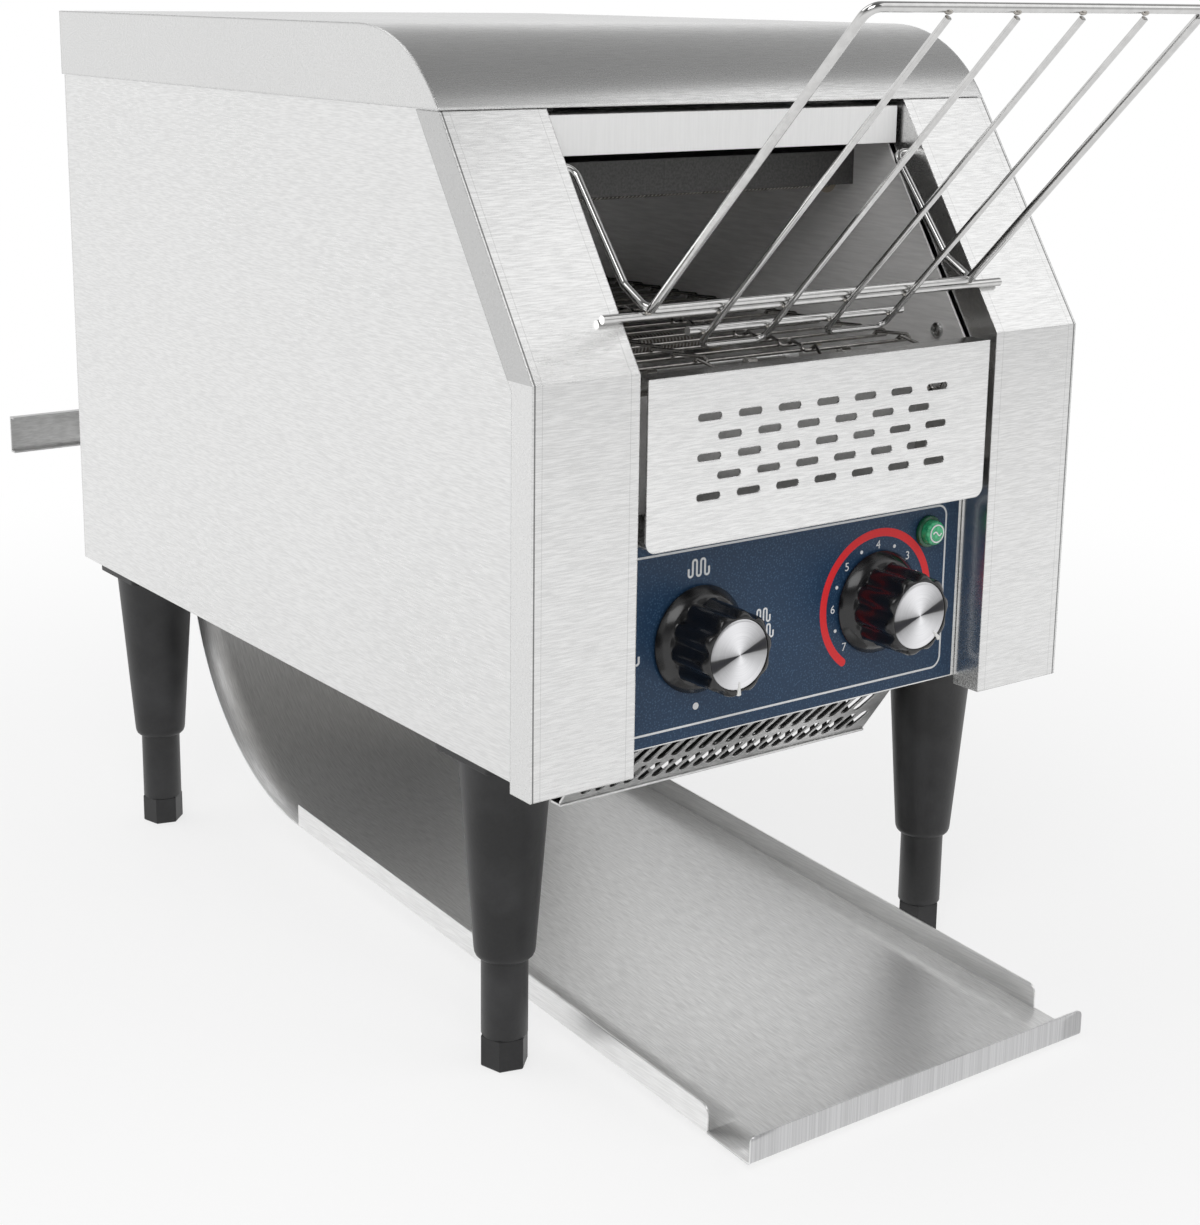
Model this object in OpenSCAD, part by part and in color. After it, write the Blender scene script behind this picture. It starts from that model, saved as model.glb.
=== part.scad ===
// Conveyor toaster: bread slides off the wire rack onto a moving wire belt, passes
// between two sets of quartz elements, drops at the rear and comes back to the front
// on the toast slide under the body. Lengths are in millimetres.

/* [Body] */
// Width across the casing
body_w = 288; // [272:1:330]
// Depth from the front columns to the back of the top cover
body_d = 420; // [410:1:470]
// Height from the bottom of the front columns to the top of the cover
body_h = 286; // [280:1:300]
// Height at which the front columns lean back
bend_z = 160; // [156:1:164]
// Height at which the leaning columns meet the top cover
slant_z = 255; // [252:1:262]
// How far back the columns lean at that height
slant_y = 63; // [56:1:70]
// Sheet thickness of the casing
sheet = 1; // [0.8:0.1:1.2]
// Width of each front column
column_w = 49; // [44:1:52]
// Width of the column strip that laps over the side panel
lap_w = 13.7; // [10:0.5:18]
// Depth of the column's folded inner edge
return_d = 15; // [12:0.5:17]
// Height of the side panels' lower edge above the columns'
skirt_z = 4; // [3:0.5:6]

/* [Belt] */
// Pitch of the belt's wires, adjusted to a whole number of wires
belt_pitch = 15; // [13:0.5:18]
// Wire diameter of the belt
belt_wire_d = 1.6; // [1.2:0.1:1.8]
// Space between the belt and the chamber's side walls
belt_side_gap = 5; // [4:0.5:12]
// Height of the belt's upper run
belt_z = 152; // [148:1:154]
// Radius at which the belt turns round its wheels
belt_r = 21; // [18:0.5:23]
// Distance of the front belt shaft behind the columns
front_shaft_y = 46; // [44:1:52]
// Distance between the two belt shafts
shaft_span = 276; // [262:1:284]
// Diameter of the belt shafts
shaft_d = 8; // [6:0.5:10]
// Number of toothed wheels on each belt shaft
wheel_count = 3; // [2:1:4]

/* [Heating] */
// Diameter of the quartz elements
tube_d = 10; // [8:0.5:12]
// Number of elements over the belt
tube_count = 4; // [3:1:4]
// Height of the upper elements over the belt
tube_gap = 66; // [62:1:70]

/* [Rack] */
// Diameter of the rack's frame wire
rack_wire_d = 3.6; // [3:0.1:4]
// Diameter of the wires that carry the bread
tine_d = 2.6; // [2:0.1:3]
// Length of the rack in front of the casing
rack_len = 160; // [140:1:190]
// Angle of the rack above level
rack_tilt = 45; // [38:1:48]
// Space between the rack's side wires and the columns
rack_side_gap = 9; // [6:0.5:14]
// How far the rack's cross bar reaches over each column
rack_bar_lap = 10.5; // [8:0.5:20]

/* [Slide] */
// How much narrower than the opening the slide is at each side
slide_side_gap = 3; // [2:0.5:8]
// Reach of the slide in front of the columns
slide_reach = 72; // [50:1:90]
// Radius of the slide's bend at the rear
slide_r = 123; // [118:1:124]
// Fall of the slide towards the front, in degrees
slide_fall = 3.1; // [2.8:0.1:3.4]
// Height of the slide's side flanges and front lip
slide_lip = 12; // [8:0.5:14]

/* [Controls] */
// Distance of the two knobs apart
knob_span = 98; // [90:1:100]
// Height of the knobs' axes
knob_z = 46; // [44:1:50]
// Diameter of the knobs' skirts
knob_d = 45; // [38:1:48]
// Height of the knobs off the panel
knob_h = 27; // [22:1:30]
// Diameter of the knobs' spindles
spindle_d = 6; // [5:0.5:6.5]
// Diameter of the lamp's lens
lamp_d = 11; // [8:0.5:12]

/* [Vents] */
// Columns of slots in the front vent panel's long rows
slot_cols = 7; // [5:1:7]
// Rows of slots in the front vent panel
slot_rows = 5; // [3:2:5]
// Length of a slot
slot_l = 12; // [8:0.5:13]
// Width of a slot
slot_w = 3; // [2:0.1:3.4]

/* [Legs] */
// Height of the body's lower edge above the table
stand_h = 137; // [136:1:145]
// Length of the leg sleeves
sleeve_h = 92; // [88:1:96]
// Diameter of the screwed feet
foot_d = 21; // [18:0.5:22]
// How far a foot screws up from where it stands
foot_travel = 33; // [20:1:36]

/* [Rear] */
// Distance of the wall spacer's bar behind the casing
spacer_d = 95; // [60:1:110]
// Height of the spacer's bar
spacer_h = 20; // [16:1:24]

/* [Hidden] */
$fn = 48;

// Clearances
seat = 0.3;       // between neighbours that move apart
fit = 0.05;       // radial running fit of a pin or shaft
over = 1;         // how far a cutter passes the face it cuts

// Side view of the casing
lean = atan(slant_y / (slant_z - bend_z));
cover_r = (body_h - slant_z) / (1 - sin(lean));
crown_y = slant_y + cover_r * cos(lean);
inner_x = body_w / 2 - column_w;
wall_gap = 2;
wall_x = inner_x - wall_gap;
floor_z = skirt_z + sheet;
panel_y = return_d + seat;
panel_t = 1.2;
panel_top_z = 89.4;
shaft_z = belt_z - belt_r;
rear_shaft_y = front_shaft_y + shaft_span;
wall_front = panel_y + panel_t;
back_y = body_d - 2 * sheet;
belt_w = 2 * (wall_x - belt_side_gap);
rack_w = 2 * (inner_x - rack_side_gap);
rack_bar_w = 2 * (inner_x + rack_bar_lap);
slide_w = 2 * (inner_x - slide_side_gap);

// Positions of what hangs on the walls
shelf_z = shaft_z - belt_r - 12;
shield_y = rear_shaft_y + belt_r + belt_wire_d * 3;
tube_z = belt_z + tube_gap;
ceiling_z = tube_z + tube_d / 2 + 7;
upper_first_y = slant_y + 46;
upper_last_y = rear_shaft_y - 14;
lower_tubes = 3;
lower_first_y = front_shaft_y + 64;
lower_last_y = rear_shaft_y - 58;
upper_tube_y = [for (i = [0:tube_count - 1]) upper_first_y
    + i * (upper_last_y - upper_first_y) / (tube_count - 1)];
lower_tube_y = [for (i = [0:lower_tubes - 1]) lower_first_y
    + i * (lower_last_y - lower_first_y) / (lower_tubes - 1)];
lower_tube_z = shaft_z + 2;
tube_hole_r = tube_d / 2 + 2.5;
tube_reach = 9;
bearing_r = shaft_d / 2 + 4;
rail_bar_d = 5;
rail_bar_y = [front_shaft_y + 34, rear_shaft_y - 30];
rail_h = 5;
rail_top = belt_z - belt_wire_d / 2 - seat;
rail_bar_z = rail_top - rail_h - rail_bar_d / 2;
wall_screw_y = wall_front + 17;
wall_screw_z = belt_z + 5;

// Drive
chain_pitch = 6.35;
roller_d = 3.3;
motor_teeth = 10;
shaft_teeth = 16;
motor_y = front_shaft_y + 34;
motor_z = 47;
chain_x = wall_x + 16;
function wheel_r(teeth) = chain_pitch / (2 * sin(180 / teeth));

// Controls
heat_x = -52.5;
speed_x = heat_x + knob_span;
lamp_x = speed_x + 29;
lamp_z = knob_z + 27;
cap_t = 1;

// Rack, measured along the leaning columns and along the rack
weld = 0.1;
rack_seat = 22.5;
pivot_up = 92;
pivot_in = 8;
rack_bend = 5;
elbow_up = 15.5;
elbow_in = 2.5;
tine_pitch = 33;
bar_drop = 13;
tine_drop = 20;
up_v = [0, sin(lean), cos(lean)];
in_v = [0, cos(lean), -sin(lean)];
rack_v = [0, -cos(rack_tilt), sin(rack_tilt)];
rack_n = [0, sin(rack_tilt), cos(rack_tilt)];
bend_p = [0, 0, bend_z];
bar_p = bend_p + rack_seat * up_v - (rack_wire_d / 2 + seat) * in_v;
frame_p = bar_p + (rack_wire_d - weld / 10) * rack_v;
top_p = frame_p + rack_len * rack_v;
pivot_p = bend_p + pivot_up * up_v + pivot_in * in_v;
elbow_p = bend_p + (rack_seat + elbow_up) * up_v + elbow_in * in_v;
tine_shift = -((rack_wire_d + tine_d) / 2 - weld) * rack_n;

// Slide: the bend ends upright at slide_back_y, level with slide_mid_z
slide_back_y = body_d - 20.6;
slide_mid_z = 9;
slide_tail_z = 36;
bend_y = slide_back_y - slide_r;
slide_from = [bend_y + slide_r * sin(slide_fall), slide_mid_z - slide_r * cos(slide_fall)];
slide_flat = (slide_from[0] + slide_reach + sheet / 2) / cos(slide_fall);
flange_gap = 25;
hook_r = 3;
hook_z = slide_tail_z;
hook_y = slide_back_y - hook_r;

// Legs
leg_x = body_w / 2 - 24.6;
leg_front_y = 53.7;
leg_rear_y = body_d - 36;
plate_w = 43;
plate_t = 4;
sleeve_top_r = 20.4;
sleeve_end_r = 13.6;
foot_grip = 34;
hex_h = 14;

// The whole part is centred over its footprint, with its feet at height 0
front_reach = -top_p.y + rack_wire_d / 2;
mid_y = (body_d + spacer_d - front_reach) / 2;

module placed() translate([0, -mid_y, stand_h]) children();

// Sheet-metal helpers: an outline in the side view, carried across from x0 to x1
module across(x0, x1) translate([x0, 0, 0]) rotate([90, 0, 90]) linear_extrude(x1 - x0) children();
// An outline in the front view, carried back from y0 to y1
module back(y0, y1) translate([0, y1, 0]) rotate([90, 0, 0]) linear_extrude(y1 - y0) children();
module both_sides() {
    children();
    mirror([1, 0, 0]) children();
}
// A round bar along x
module bar_x(x0, x1, r) translate([x0, 0, 0]) rotate([0, 90, 0]) cylinder(r = r, h = x1 - x0);
// A round bar along y
module bar_y(y0, y1, r) translate([0, y1, 0]) rotate([90, 0, 0]) cylinder(r = r, h = y1 - y0);
module slot2d(l, w) {
    square([l - w, w], center = true);
    for (s = [-1, 1]) translate([s * (l - w) / 2, 0]) circle(d = w, $fn = 24);
}
module rounded2d(w, h, r) {
    square([w - 2 * r, h], center = true);
    square([w, h - 2 * r], center = true);
    for (x = [-1, 1], y = [-1, 1]) translate([x * (w / 2 - r), y * (h / 2 - r)]) circle(r = r, $fn = 24);
}

// The casing's front edge in the side view, t inside its outer face, from zb to zt
function front_line(t, zb, zt) = [
    [t, zb],
    [t, bend_z - t * tan(lean / 2)],
    [(zt - bend_z) * tan(lean) + t / cos(lean), zt]
];
function reversed(l) = [for (i = [len(l) - 1:-1:0]) l[i]];
module band2d(t0, t1, zb, zt) polygon(concat(front_line(t0, zb, zt), reversed(front_line(t1, zb, zt))));
// What the top cover encloses, t inside its outer face
module crown2d(t) intersection() {
    translate([0, slant_z]) square([body_d - t, body_h - slant_z - t]);
    union() {
        translate([crown_y, slant_z]) square([body_d, body_h]);
        translate([crown_y, body_h - cover_r]) circle(r = cover_r - t, $fn = 180);
    }
}

// Wires: a tube through points, mitred at each one; up tells which way its section stands
function unit(v) = v / norm(v);
function tube_ring(p, a, b, up, r, sides) = let(
        t = unit(a + b),
        s = unit(cross(t, up)),
        u = cross(s, t),
        m = norm(b - a) < 0.01 ? [0, 0, 0] : unit(b - a),
        k = norm(b - a) < 0.01 ? 0 : 1 / sqrt((1 + a * b) / 2) - 1)
    [for (i = [0:sides - 1]) let(o = r * (cos(360 * i / sides) * s + sin(360 * i / sides) * u))
        p + o + k * (o * m) * m];
module tube(pts, ups, d, sides) {
    n = len(pts);
    way = [for (i = [0:n - 2]) unit(pts[i + 1] - pts[i])];
    rings = [for (i = [0:n - 1]) tube_ring(pts[i], way[max(i - 1, 0)], way[min(i, n - 2)],
        ups[i], d / 2, sides)];
    polyhedron(
        points = [for (ring = rings) for (p = ring) p],
        faces = concat(
            [[for (i = [sides - 1:-1:0]) i]],
            [for (j = [0:n - 2]) for (i = [0:sides - 1])
                let(a = j * sides + i, b = j * sides + (i + 1) % sides) [a, b, b + sides, a + sides]],
            [[for (i = [0:sides - 1]) (n - 1) * sides + i]]));
}
// The points of a wire bent at each corner of pts with radius r, in steps
function bent(pts, r, steps) = [for (i = [0:len(pts) - 1])
    for (p = i == 0 || i == len(pts) - 1 ? [pts[i]] :
        let(a = unit(pts[i] - pts[i - 1]),
            b = unit(pts[i + 1] - pts[i]),
            turn = acos(a * b),
            w = unit(b - (a * b) * a),
            c = pts[i] - r * tan(turn / 2) * a + r * w)
        [for (k = [0:steps]) c + r * (sin(turn * k / steps) * a - cos(turn * k / steps) * w)]) p];

// ---- Casing ----

module side_panel() {
    reach = body_w / 2 - sheet;
    rim = 12;
    across(reach - sheet, reach) difference() {
        union() {
            polygon(concat(front_line(2 * sheet, skirt_z, slant_z), [[back_y, slant_z], [back_y, skirt_z]]));
            crown2d(2 * sheet);
        }
        translate([back_y, 0]) square(body_h);
    }
    // folded rim that the rear panel is screwed to
    back(back_y - sheet, back_y) difference() {
        translate([reach - rim, skirt_z]) square([rim, body_h - skirt_z - 8]);
        casing_holes();
    }
}
module side_panel_left() color("gainsboro") placed() mirror([1, 0, 0]) side_panel();
module side_panel_right() color("gainsboro") placed() side_panel();

module top_cover() color("gainsboro") placed() {
    across(-body_w / 2, body_w / 2) difference() {
        crown2d(0);
        crown2d(sheet);
    }
    both_sides() across(body_w / 2 - sheet, body_w / 2) crown2d(0);
    // front fold, the drip edge over the opening
    fold = 5;
    across(-inner_x, inner_x) intersection() {
        band2d(sheet, sheet + fold, slant_z, slant_z + fold);
        translate([0, slant_z]) square([body_d, sheet]);
    }
}

module front_column() {
    top = slant_z - seat;
    across(inner_x, body_w / 2) band2d(0, sheet, 0, top);
    across(body_w / 2 - sheet, body_w / 2) band2d(0, lap_w, 0, top);
    difference() {
        across(inner_x, inner_x + sheet) band2d(0, return_d, 0, top);
        translate([inner_x - over, pivot_p.y, pivot_p.z]) bar_x(0, sheet + 2 * over, rack_wire_d / 2 + fit);
    }
}
module front_column_left() color("whitesmoke") placed() mirror([1, 0, 0]) front_column();
module front_column_right() color("whitesmoke") placed() front_column();

gland_x = -body_w / 2 + 24.5;
gland_z = floor_z + 26;
gland_r = 8;
spacer_z = 53.5;
arm_x = 76;
screw_d = 4;
casing_screw_z = [30, 120, 210];
module casing_holes() for (x = [-1, 1], z = casing_screw_z)
    translate([x * (body_w / 2 - 8), z]) circle(d = screw_d);
module rear_panel() color("gainsboro") placed() back(back_y, back_y + sheet) difference() {
    translate([0, (skirt_z + body_h - sheet) / 2])
        square([body_w - 2 * sheet, body_h - sheet - skirt_z], center = true);
    for (r = [0:4], c = [-5:5]) translate([c * 18, 150 + r * 12]) slot2d(slot_l, 4);
    translate([gland_x, gland_z]) circle(r = gland_r + fit);
    casing_holes();
}

trough_y0 = panel_y + 20;
trough_drop = 37;
trough_w = rack_w;
trough_a = 53.7;
trough_run = trough_drop / tan(trough_a);
trough_floor = 6;
trough_y1 = trough_y0 + 2 * trough_run + trough_floor;
drop_w = slide_w + 5;
module base_plate() color("silver") placed() {
    reach = body_w / 2 - 2 * sheet;
    rim = 14;
    rear = back_y - sheet;
    difference() {
        translate([-reach, wall_front, skirt_z]) cube([2 * reach, rear - wall_front, sheet]);
        translate([-trough_w / 2 + 6, trough_y0 + 2, skirt_z - over])
            cube([trough_w - 12, trough_y1 - trough_y0 - 4, sheet + 2 * over]);
        translate([-drop_w / 2, shield_y + sheet, skirt_z - over])
            cube([drop_w, rear, sheet + 2 * over]);
    }
    both_sides() translate([reach - sheet, wall_front, skirt_z]) cube([sheet, rear - wall_front, rim]);
}

module vent_panel() color("whitesmoke") placed() {
    w = 2 * inner_x - 8;
    z1 = bend_z - 2.6;
    mid = 124.5;
    corner = 4.5;
    back(0, sheet) difference() {
        union() {
            translate([-w / 2, panel_top_z + corner]) square([w, z1 - panel_top_z - corner]);
            translate([-w / 2 + corner, panel_top_z]) square([w - 2 * corner, corner + over]);
            for (x = [-1, 1]) translate([x * (w / 2 - corner), panel_top_z + corner]) circle(r = corner);
        }
        for (r = [0:slot_rows - 1], c = [0:slot_cols - 1 - (r % 2)])
            translate([(c - (slot_cols - 1 - (r % 2)) / 2) * 20.3, mid + (r - (slot_rows - 1) / 2) * 7.9])
                slot2d(slot_l, slot_w);
    }
    translate([-w / 2, 0, z1 - sheet]) cube([w, 11, sheet]);
    translate([-w / 2 + corner, 0, panel_top_z]) cube([w - 2 * corner, panel_y, sheet]);
    translate([-w / 2, 11 - sheet, z1 - 6]) cube([w, sheet, 6]);
}

module control_panel() color("midnightblue") placed() back(panel_y, panel_y + panel_t) difference() {
    translate([-inner_x - 6, skirt_z]) square([2 * inner_x + 12, panel_top_z + 12 - skirt_z]);
    for (x = [heat_x, speed_x]) translate([x, knob_z]) circle(d = spindle_d + 2);
    translate([lamp_x, lamp_z]) circle(r = lamp_d / 2 - 1 + fit);
}

// A sloping wall of the trough under the control box, with two rows of leaning slots
module trough_wall() {
    slope = trough_drop / sin(trough_a);
    rotate([-trough_a, 0, 0]) translate([0, 0, -sheet]) linear_extrude(sheet) difference() {
        translate([-trough_w / 2, 0.2]) square([trough_w, slope]);
        for (row = [0, 1], i = [-10:10])
            translate([i * 7.5 + (row - 0.5) * 4 - 2, 12 + row * 20.5])
                rotate(row == 0 ? 66 : 60) slot2d(15, 3.8);
    }
    translate([-trough_w / 2, -6, -sheet]) cube([trough_w, 6.4, sheet]);
}
module belly_grille() color("silver") placed() translate([0, 0, skirt_z]) {
    translate([0, trough_y0, 0]) trough_wall();
    translate([0, trough_y1, 0]) mirror([0, 1, 0]) trough_wall();
    translate([-trough_w / 2, trough_y0 + trough_run - 1.2, -trough_drop - sheet])
        cube([trough_w, trough_floor + 2.4, sheet]);
}

// ---- Toasting chamber ----

module wall_holes() {
    for (y = [front_shaft_y, rear_shaft_y]) translate([y, shaft_z]) circle(r = bearing_r + fit);
    for (y = upper_tube_y) translate([y, tube_z]) circle(r = tube_hole_r);
    for (y = lower_tube_y) translate([y, lower_tube_z]) circle(r = tube_hole_r);
    for (y = rail_bar_y) translate([y, rail_bar_z]) circle(d = rail_bar_d + 2 * fit);
    translate([wall_screw_y, wall_screw_z]) circle(d = screw_d);
}
module inner_wall(motor_hole) across(wall_x, wall_x + sheet) difference() {
    polygon(concat(front_line(wall_front, floor_z, slant_z - 3),
        [[back_y - 3, slant_z - 3], [back_y - 3, slide_tail_z + 12], [shield_y, slide_tail_z + 12],
         [shield_y, floor_z]]));
    wall_holes();
    if (motor_hole) translate([motor_y, motor_z]) circle(r = 8);
}
module inner_wall_left() color("gray") placed() mirror([1, 0, 0]) inner_wall(false);
module inner_wall_right() color("gray") placed() inner_wall(true);

strip_y = slant_y + 1.5;
module header_strip() color("white") placed() {
    w = 2 * wall_x;
    z0 = slant_z - 19;
    top = slant_z - 3;
    translate([-w / 2, strip_y, z0]) cube([w, sheet, top - z0]);
    translate([-w / 2, strip_y, top - sheet]) cube([w, 26, sheet]);
}

module upper_reflector() color("dimgray") placed() {
    w = 2 * wall_x;
    y0 = upper_first_y - 18;
    y1 = upper_last_y + 18;
    translate([-w / 2, y0, ceiling_z]) cube([w, y1 - y0, sheet]);
    for (y = [y0, y1 - sheet]) translate([-w / 2, y, ceiling_z - 14]) cube([w, sheet, 14 + sheet]);
    both_sides() translate([w / 2 - sheet, y0, ceiling_z]) cube([sheet, y1 - y0, 9]);
}

module lower_reflector() color("dimgray") placed() {
    w = belt_w;
    y0 = lower_first_y - 16;
    y1 = lower_last_y + 16;
    z = lower_tube_z - tube_d / 2 - 5;
    translate([-wall_x, y0, z]) cube([2 * wall_x, y1 - y0, sheet]);
    for (y = [y0, y1 - sheet]) translate([-w / 2, y, z]) cube([w, sheet, 8]);
}

module compartment_shield() color("silver") placed() {
    w = 2 * wall_x;
    y0 = wall_front;
    translate([-w / 2, y0, shelf_z]) cube([w, shield_y - y0 + sheet, sheet]);
    translate([-w / 2, shield_y, floor_z]) cube([w, sheet, shelf_z - floor_z + sheet]);
    translate([-w / 2, shield_y - 11, floor_z]) cube([w, 12, sheet]);
    translate([-w / 2, y0, shelf_z - 10]) cube([w, sheet, 10]);
}

// Plate behind the front vents, open at its right end
module vent_shield() color("dimgray") placed()
    translate([-wall_x, wall_front + 1.5, shelf_z + sheet])
        cube([2 * wall_x - 26, sheet, bend_z - shelf_z - 14]);

module tube_set(ys, z) for (y = ys) translate([0, y, z])
    bar_x(-wall_x - tube_reach, wall_x + tube_reach, tube_d / 2);
module upper_elements() color("linen") placed() tube_set(upper_tube_y, tube_z);
module lower_elements() color("linen") placed() tube_set(lower_tube_y, lower_tube_z);

// Ceramic ends that carry the elements in the walls' holes
module tube_cap() difference() {
    union() {
        bar_x(0, tube_reach, tube_hole_r + 2);
        bar_x(-sheet, tube_reach + 3, tube_hole_r - fit);
    }
    bar_x(-sheet - over, tube_reach - sheet, tube_d / 2 + fit);
    bar_x(-sheet - over, tube_reach + 4, 2);
}
module element_caps() color("beige") placed() both_sides() {
    for (y = upper_tube_y) translate([wall_x + sheet, y, tube_z]) tube_cap();
    for (y = lower_tube_y) translate([wall_x + sheet, y, lower_tube_z]) tube_cap();
}

// Flat rails under the belt's upper run, on two cross bars held in the walls
module belt_rails() color("silver") placed() {
    y0 = front_shaft_y + belt_r;
    y1 = rear_shaft_y - belt_r;
    for (y = rail_bar_y) translate([0, y, rail_bar_z]) bar_x(-wall_x - sheet, wall_x + sheet, rail_bar_d / 2);
    for (x = [-1, 1])
        translate([x * belt_w / 4 - 1, y0, rail_bar_z]) cube([2, y1 - y0, rail_top - rail_bar_z]);
}

// ---- Wire belt ----

belt_run = shaft_span;
belt_path = 2 * belt_run + 2 * PI * belt_r;
belt_count = round(belt_path / belt_pitch);
true_pitch = belt_path / belt_count;
knuckle_x = belt_w / 6;
knuckle_gap = 0.62 * belt_wire_d;
knuckle_lift = 1.15 * belt_wire_d;
knuckle_lean = 3;

// A point at distance s along the belt's loop, h outside the wires, and the outward direction there
function loop_turn(s) = let(p = s - belt_path * floor(s / belt_path))
    p < belt_run ? 0 :
    p < belt_run + PI * belt_r ? (p - belt_run) / belt_r * 180 / PI :
    p < 2 * belt_run + PI * belt_r ? 180 : 180 + (p - 2 * belt_run - PI * belt_r) / belt_r * 180 / PI;
function loop_out(s) = [0, sin(loop_turn(s)), cos(loop_turn(s))];
function loop_axis(s) = let(p = s - belt_path * floor(s / belt_path))
    p < belt_run ? front_shaft_y + p :
    p < belt_run + PI * belt_r ? rear_shaft_y :
    p < 2 * belt_run + PI * belt_r ? rear_shaft_y - (p - belt_run - PI * belt_r) : front_shaft_y;
function on_loop(x, s, h) = [x, loop_axis(s), shaft_z] + (belt_r + h) * loop_out(s);

// One wire of the belt: each end and each knuckle steps over to the next wire's line and hooks it
function step_over(x, s, a, b) = [
    [x + knuckle_lean * a, s - knuckle_gap, 0],
    [x + knuckle_lean * a, s + knuckle_gap, knuckle_lift],
    [x + knuckle_lean * b, s + true_pitch - knuckle_gap, knuckle_lift],
    [x + knuckle_lean * b, s + true_pitch + knuckle_gap, 0]
];
module belt_wire(s) {
    route = concat(
        reversed(step_over(-belt_w / 2 + knuckle_lean, s, -1, 1)), step_over(-knuckle_x, s, 1, -1),
        reversed(step_over(knuckle_x, s, -1, 1)), step_over(belt_w / 2 - knuckle_lean, s, 1, -1));
    tube([for (p = route) on_loop(p[0], p[1], p[2])], [for (p = route) loop_out(p[1])], belt_wire_d, 5);
}
module wire_belt() color("silver") placed() for (k = [0:belt_count - 1]) belt_wire(k * true_pitch);

// ---- Shafts and drive ----

module shaft_bearings() color("goldenrod") placed() both_sides()
    for (y = [front_shaft_y, rear_shaft_y]) translate([wall_x, y, shaft_z]) difference() {
        union() {
            bar_x(-1, sheet + 4, bearing_r);
            bar_x(sheet, sheet + 3, bearing_r + 3);
        }
        bar_x(-1 - over, sheet + 4 + over, shaft_d / 2 + fit);
    }

shaft_end = wall_x + 9;
module front_shaft() color("silver") placed() translate([0, front_shaft_y, shaft_z])
    bar_x(-shaft_end, chain_x + 6, shaft_d / 2);
module rear_shaft() color("silver") placed() translate([0, rear_shaft_y, shaft_z])
    bar_x(-shaft_end, shaft_end, shaft_d / 2);

// A toothed wheel of the belt: its tips turn just inside the wires
wheel_tip = belt_r - belt_wire_d / 2 - seat;
wheel_teeth = 9;
module belt_wheel() rotate([90, 0, 90]) linear_extrude(5, center = true) difference() {
    union() {
        circle(r = wheel_tip - 4);
        for (i = [0:wheel_teeth - 1]) rotate(i * 360 / wheel_teeth) intersection() {
            circle(r = wheel_tip);
            polygon([[0, -6], [wheel_tip + 2, -1.2], [wheel_tip + 2, 1.2], [0, 6]]);
        }
    }
    circle(d = shaft_d);
    for (i = [0:2]) rotate(i * 120 + 20) translate([wheel_tip / 2 + 0.6, 0]) circle(r = 3);
}
module wheel_row(y) for (i = [0:wheel_count - 1])
    translate([(i - (wheel_count - 1) / 2) * belt_w * 0.9 / wheel_count, y, shaft_z]) belt_wheel();
module front_belt_wheels() color("silver") placed() wheel_row(front_shaft_y);
module rear_belt_wheels() color("silver") placed() wheel_row(rear_shaft_y);

// A chain wheel, its tips cut short of the chain's rollers so that it turns clear of them
module toothed(teeth, bore) {
    tip = wheel_r(teeth) - roller_d / 2 - seat;
    rotate([90, 0, 90]) linear_extrude(2.4, center = true) difference() {
        union() {
            circle(r = tip - 1.6);
            for (i = [0:teeth - 1]) rotate(i * 360 / teeth) intersection() {
                circle(r = tip);
                polygon([[0, -2.4], [tip + 1, -0.7], [tip + 1, 0.7], [0, 2.4]]);
            }
        }
        circle(d = bore);
    }
    difference() {
        bar_x(-5, -1.2, bore / 2 + 2.5);
        bar_x(-5 - over, -1.2 + over, bore / 2);
    }
}
module chain_wheel() color("slategray") placed()
    translate([chain_x, front_shaft_y, shaft_z]) toothed(shaft_teeth, shaft_d);
motor_shaft_d = 7;
module motor_wheel() color("slategray") placed() translate([chain_x, motor_y, motor_z]) {
    toothed(motor_teeth, motor_shaft_d);
    bar_x(-chain_x + wall_x - 8, 4, motor_shaft_d / 2);
}

// Roller chain round the two wheels: two arcs and two straight runs, evenly divided
chain_ra = wheel_r(shaft_teeth);
chain_rb = wheel_r(motor_teeth);
chain_v = [motor_y - front_shaft_y, motor_z - shaft_z];
chain_c = norm(chain_v);
chain_dir = atan2(chain_v[1], chain_v[0]);
chain_tilt = asin((chain_ra - chain_rb) / chain_c);
chain_run = chain_c * cos(chain_tilt);
arc_a = PI * chain_ra * (180 + 2 * chain_tilt) / 180;
arc_b = PI * chain_rb * (180 - 2 * chain_tilt) / 180;
chain_len = 2 * chain_run + arc_a + arc_b;
link_count = 2 * round(chain_len / chain_pitch / 2);
function polar(r, a) = r * [cos(a), sin(a)];
function chain_at(s) = let(side = chain_dir + 90 - chain_tilt)
    s < chain_run ? polar(chain_ra, side) + polar(s, side - 90) :
    s < chain_run + arc_b ? chain_v + polar(chain_rb, side - (s - chain_run) / chain_rb * 180 / PI) :
    s < 2 * chain_run + arc_b ? let(low = chain_dir - 90 + chain_tilt)
        chain_v + polar(chain_rb, low) + polar(s - chain_run - arc_b, low - 90) :
    polar(chain_ra, chain_dir - 90 + chain_tilt - (s - 2 * chain_run - arc_b) / chain_ra * 180 / PI);
function chain_pin(i) = chain_at((i % link_count) * chain_len / link_count);
module link_plate(p, q) {
    v = q - p;
    translate(p) rotate(atan2(v[1], v[0])) {
        translate([0, -1.9]) square([norm(v), 3.8]);
        circle(r = 2.6, $fn = 24);
        translate([norm(v), 0]) circle(r = 2.6, $fn = 24);
    }
}
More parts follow.
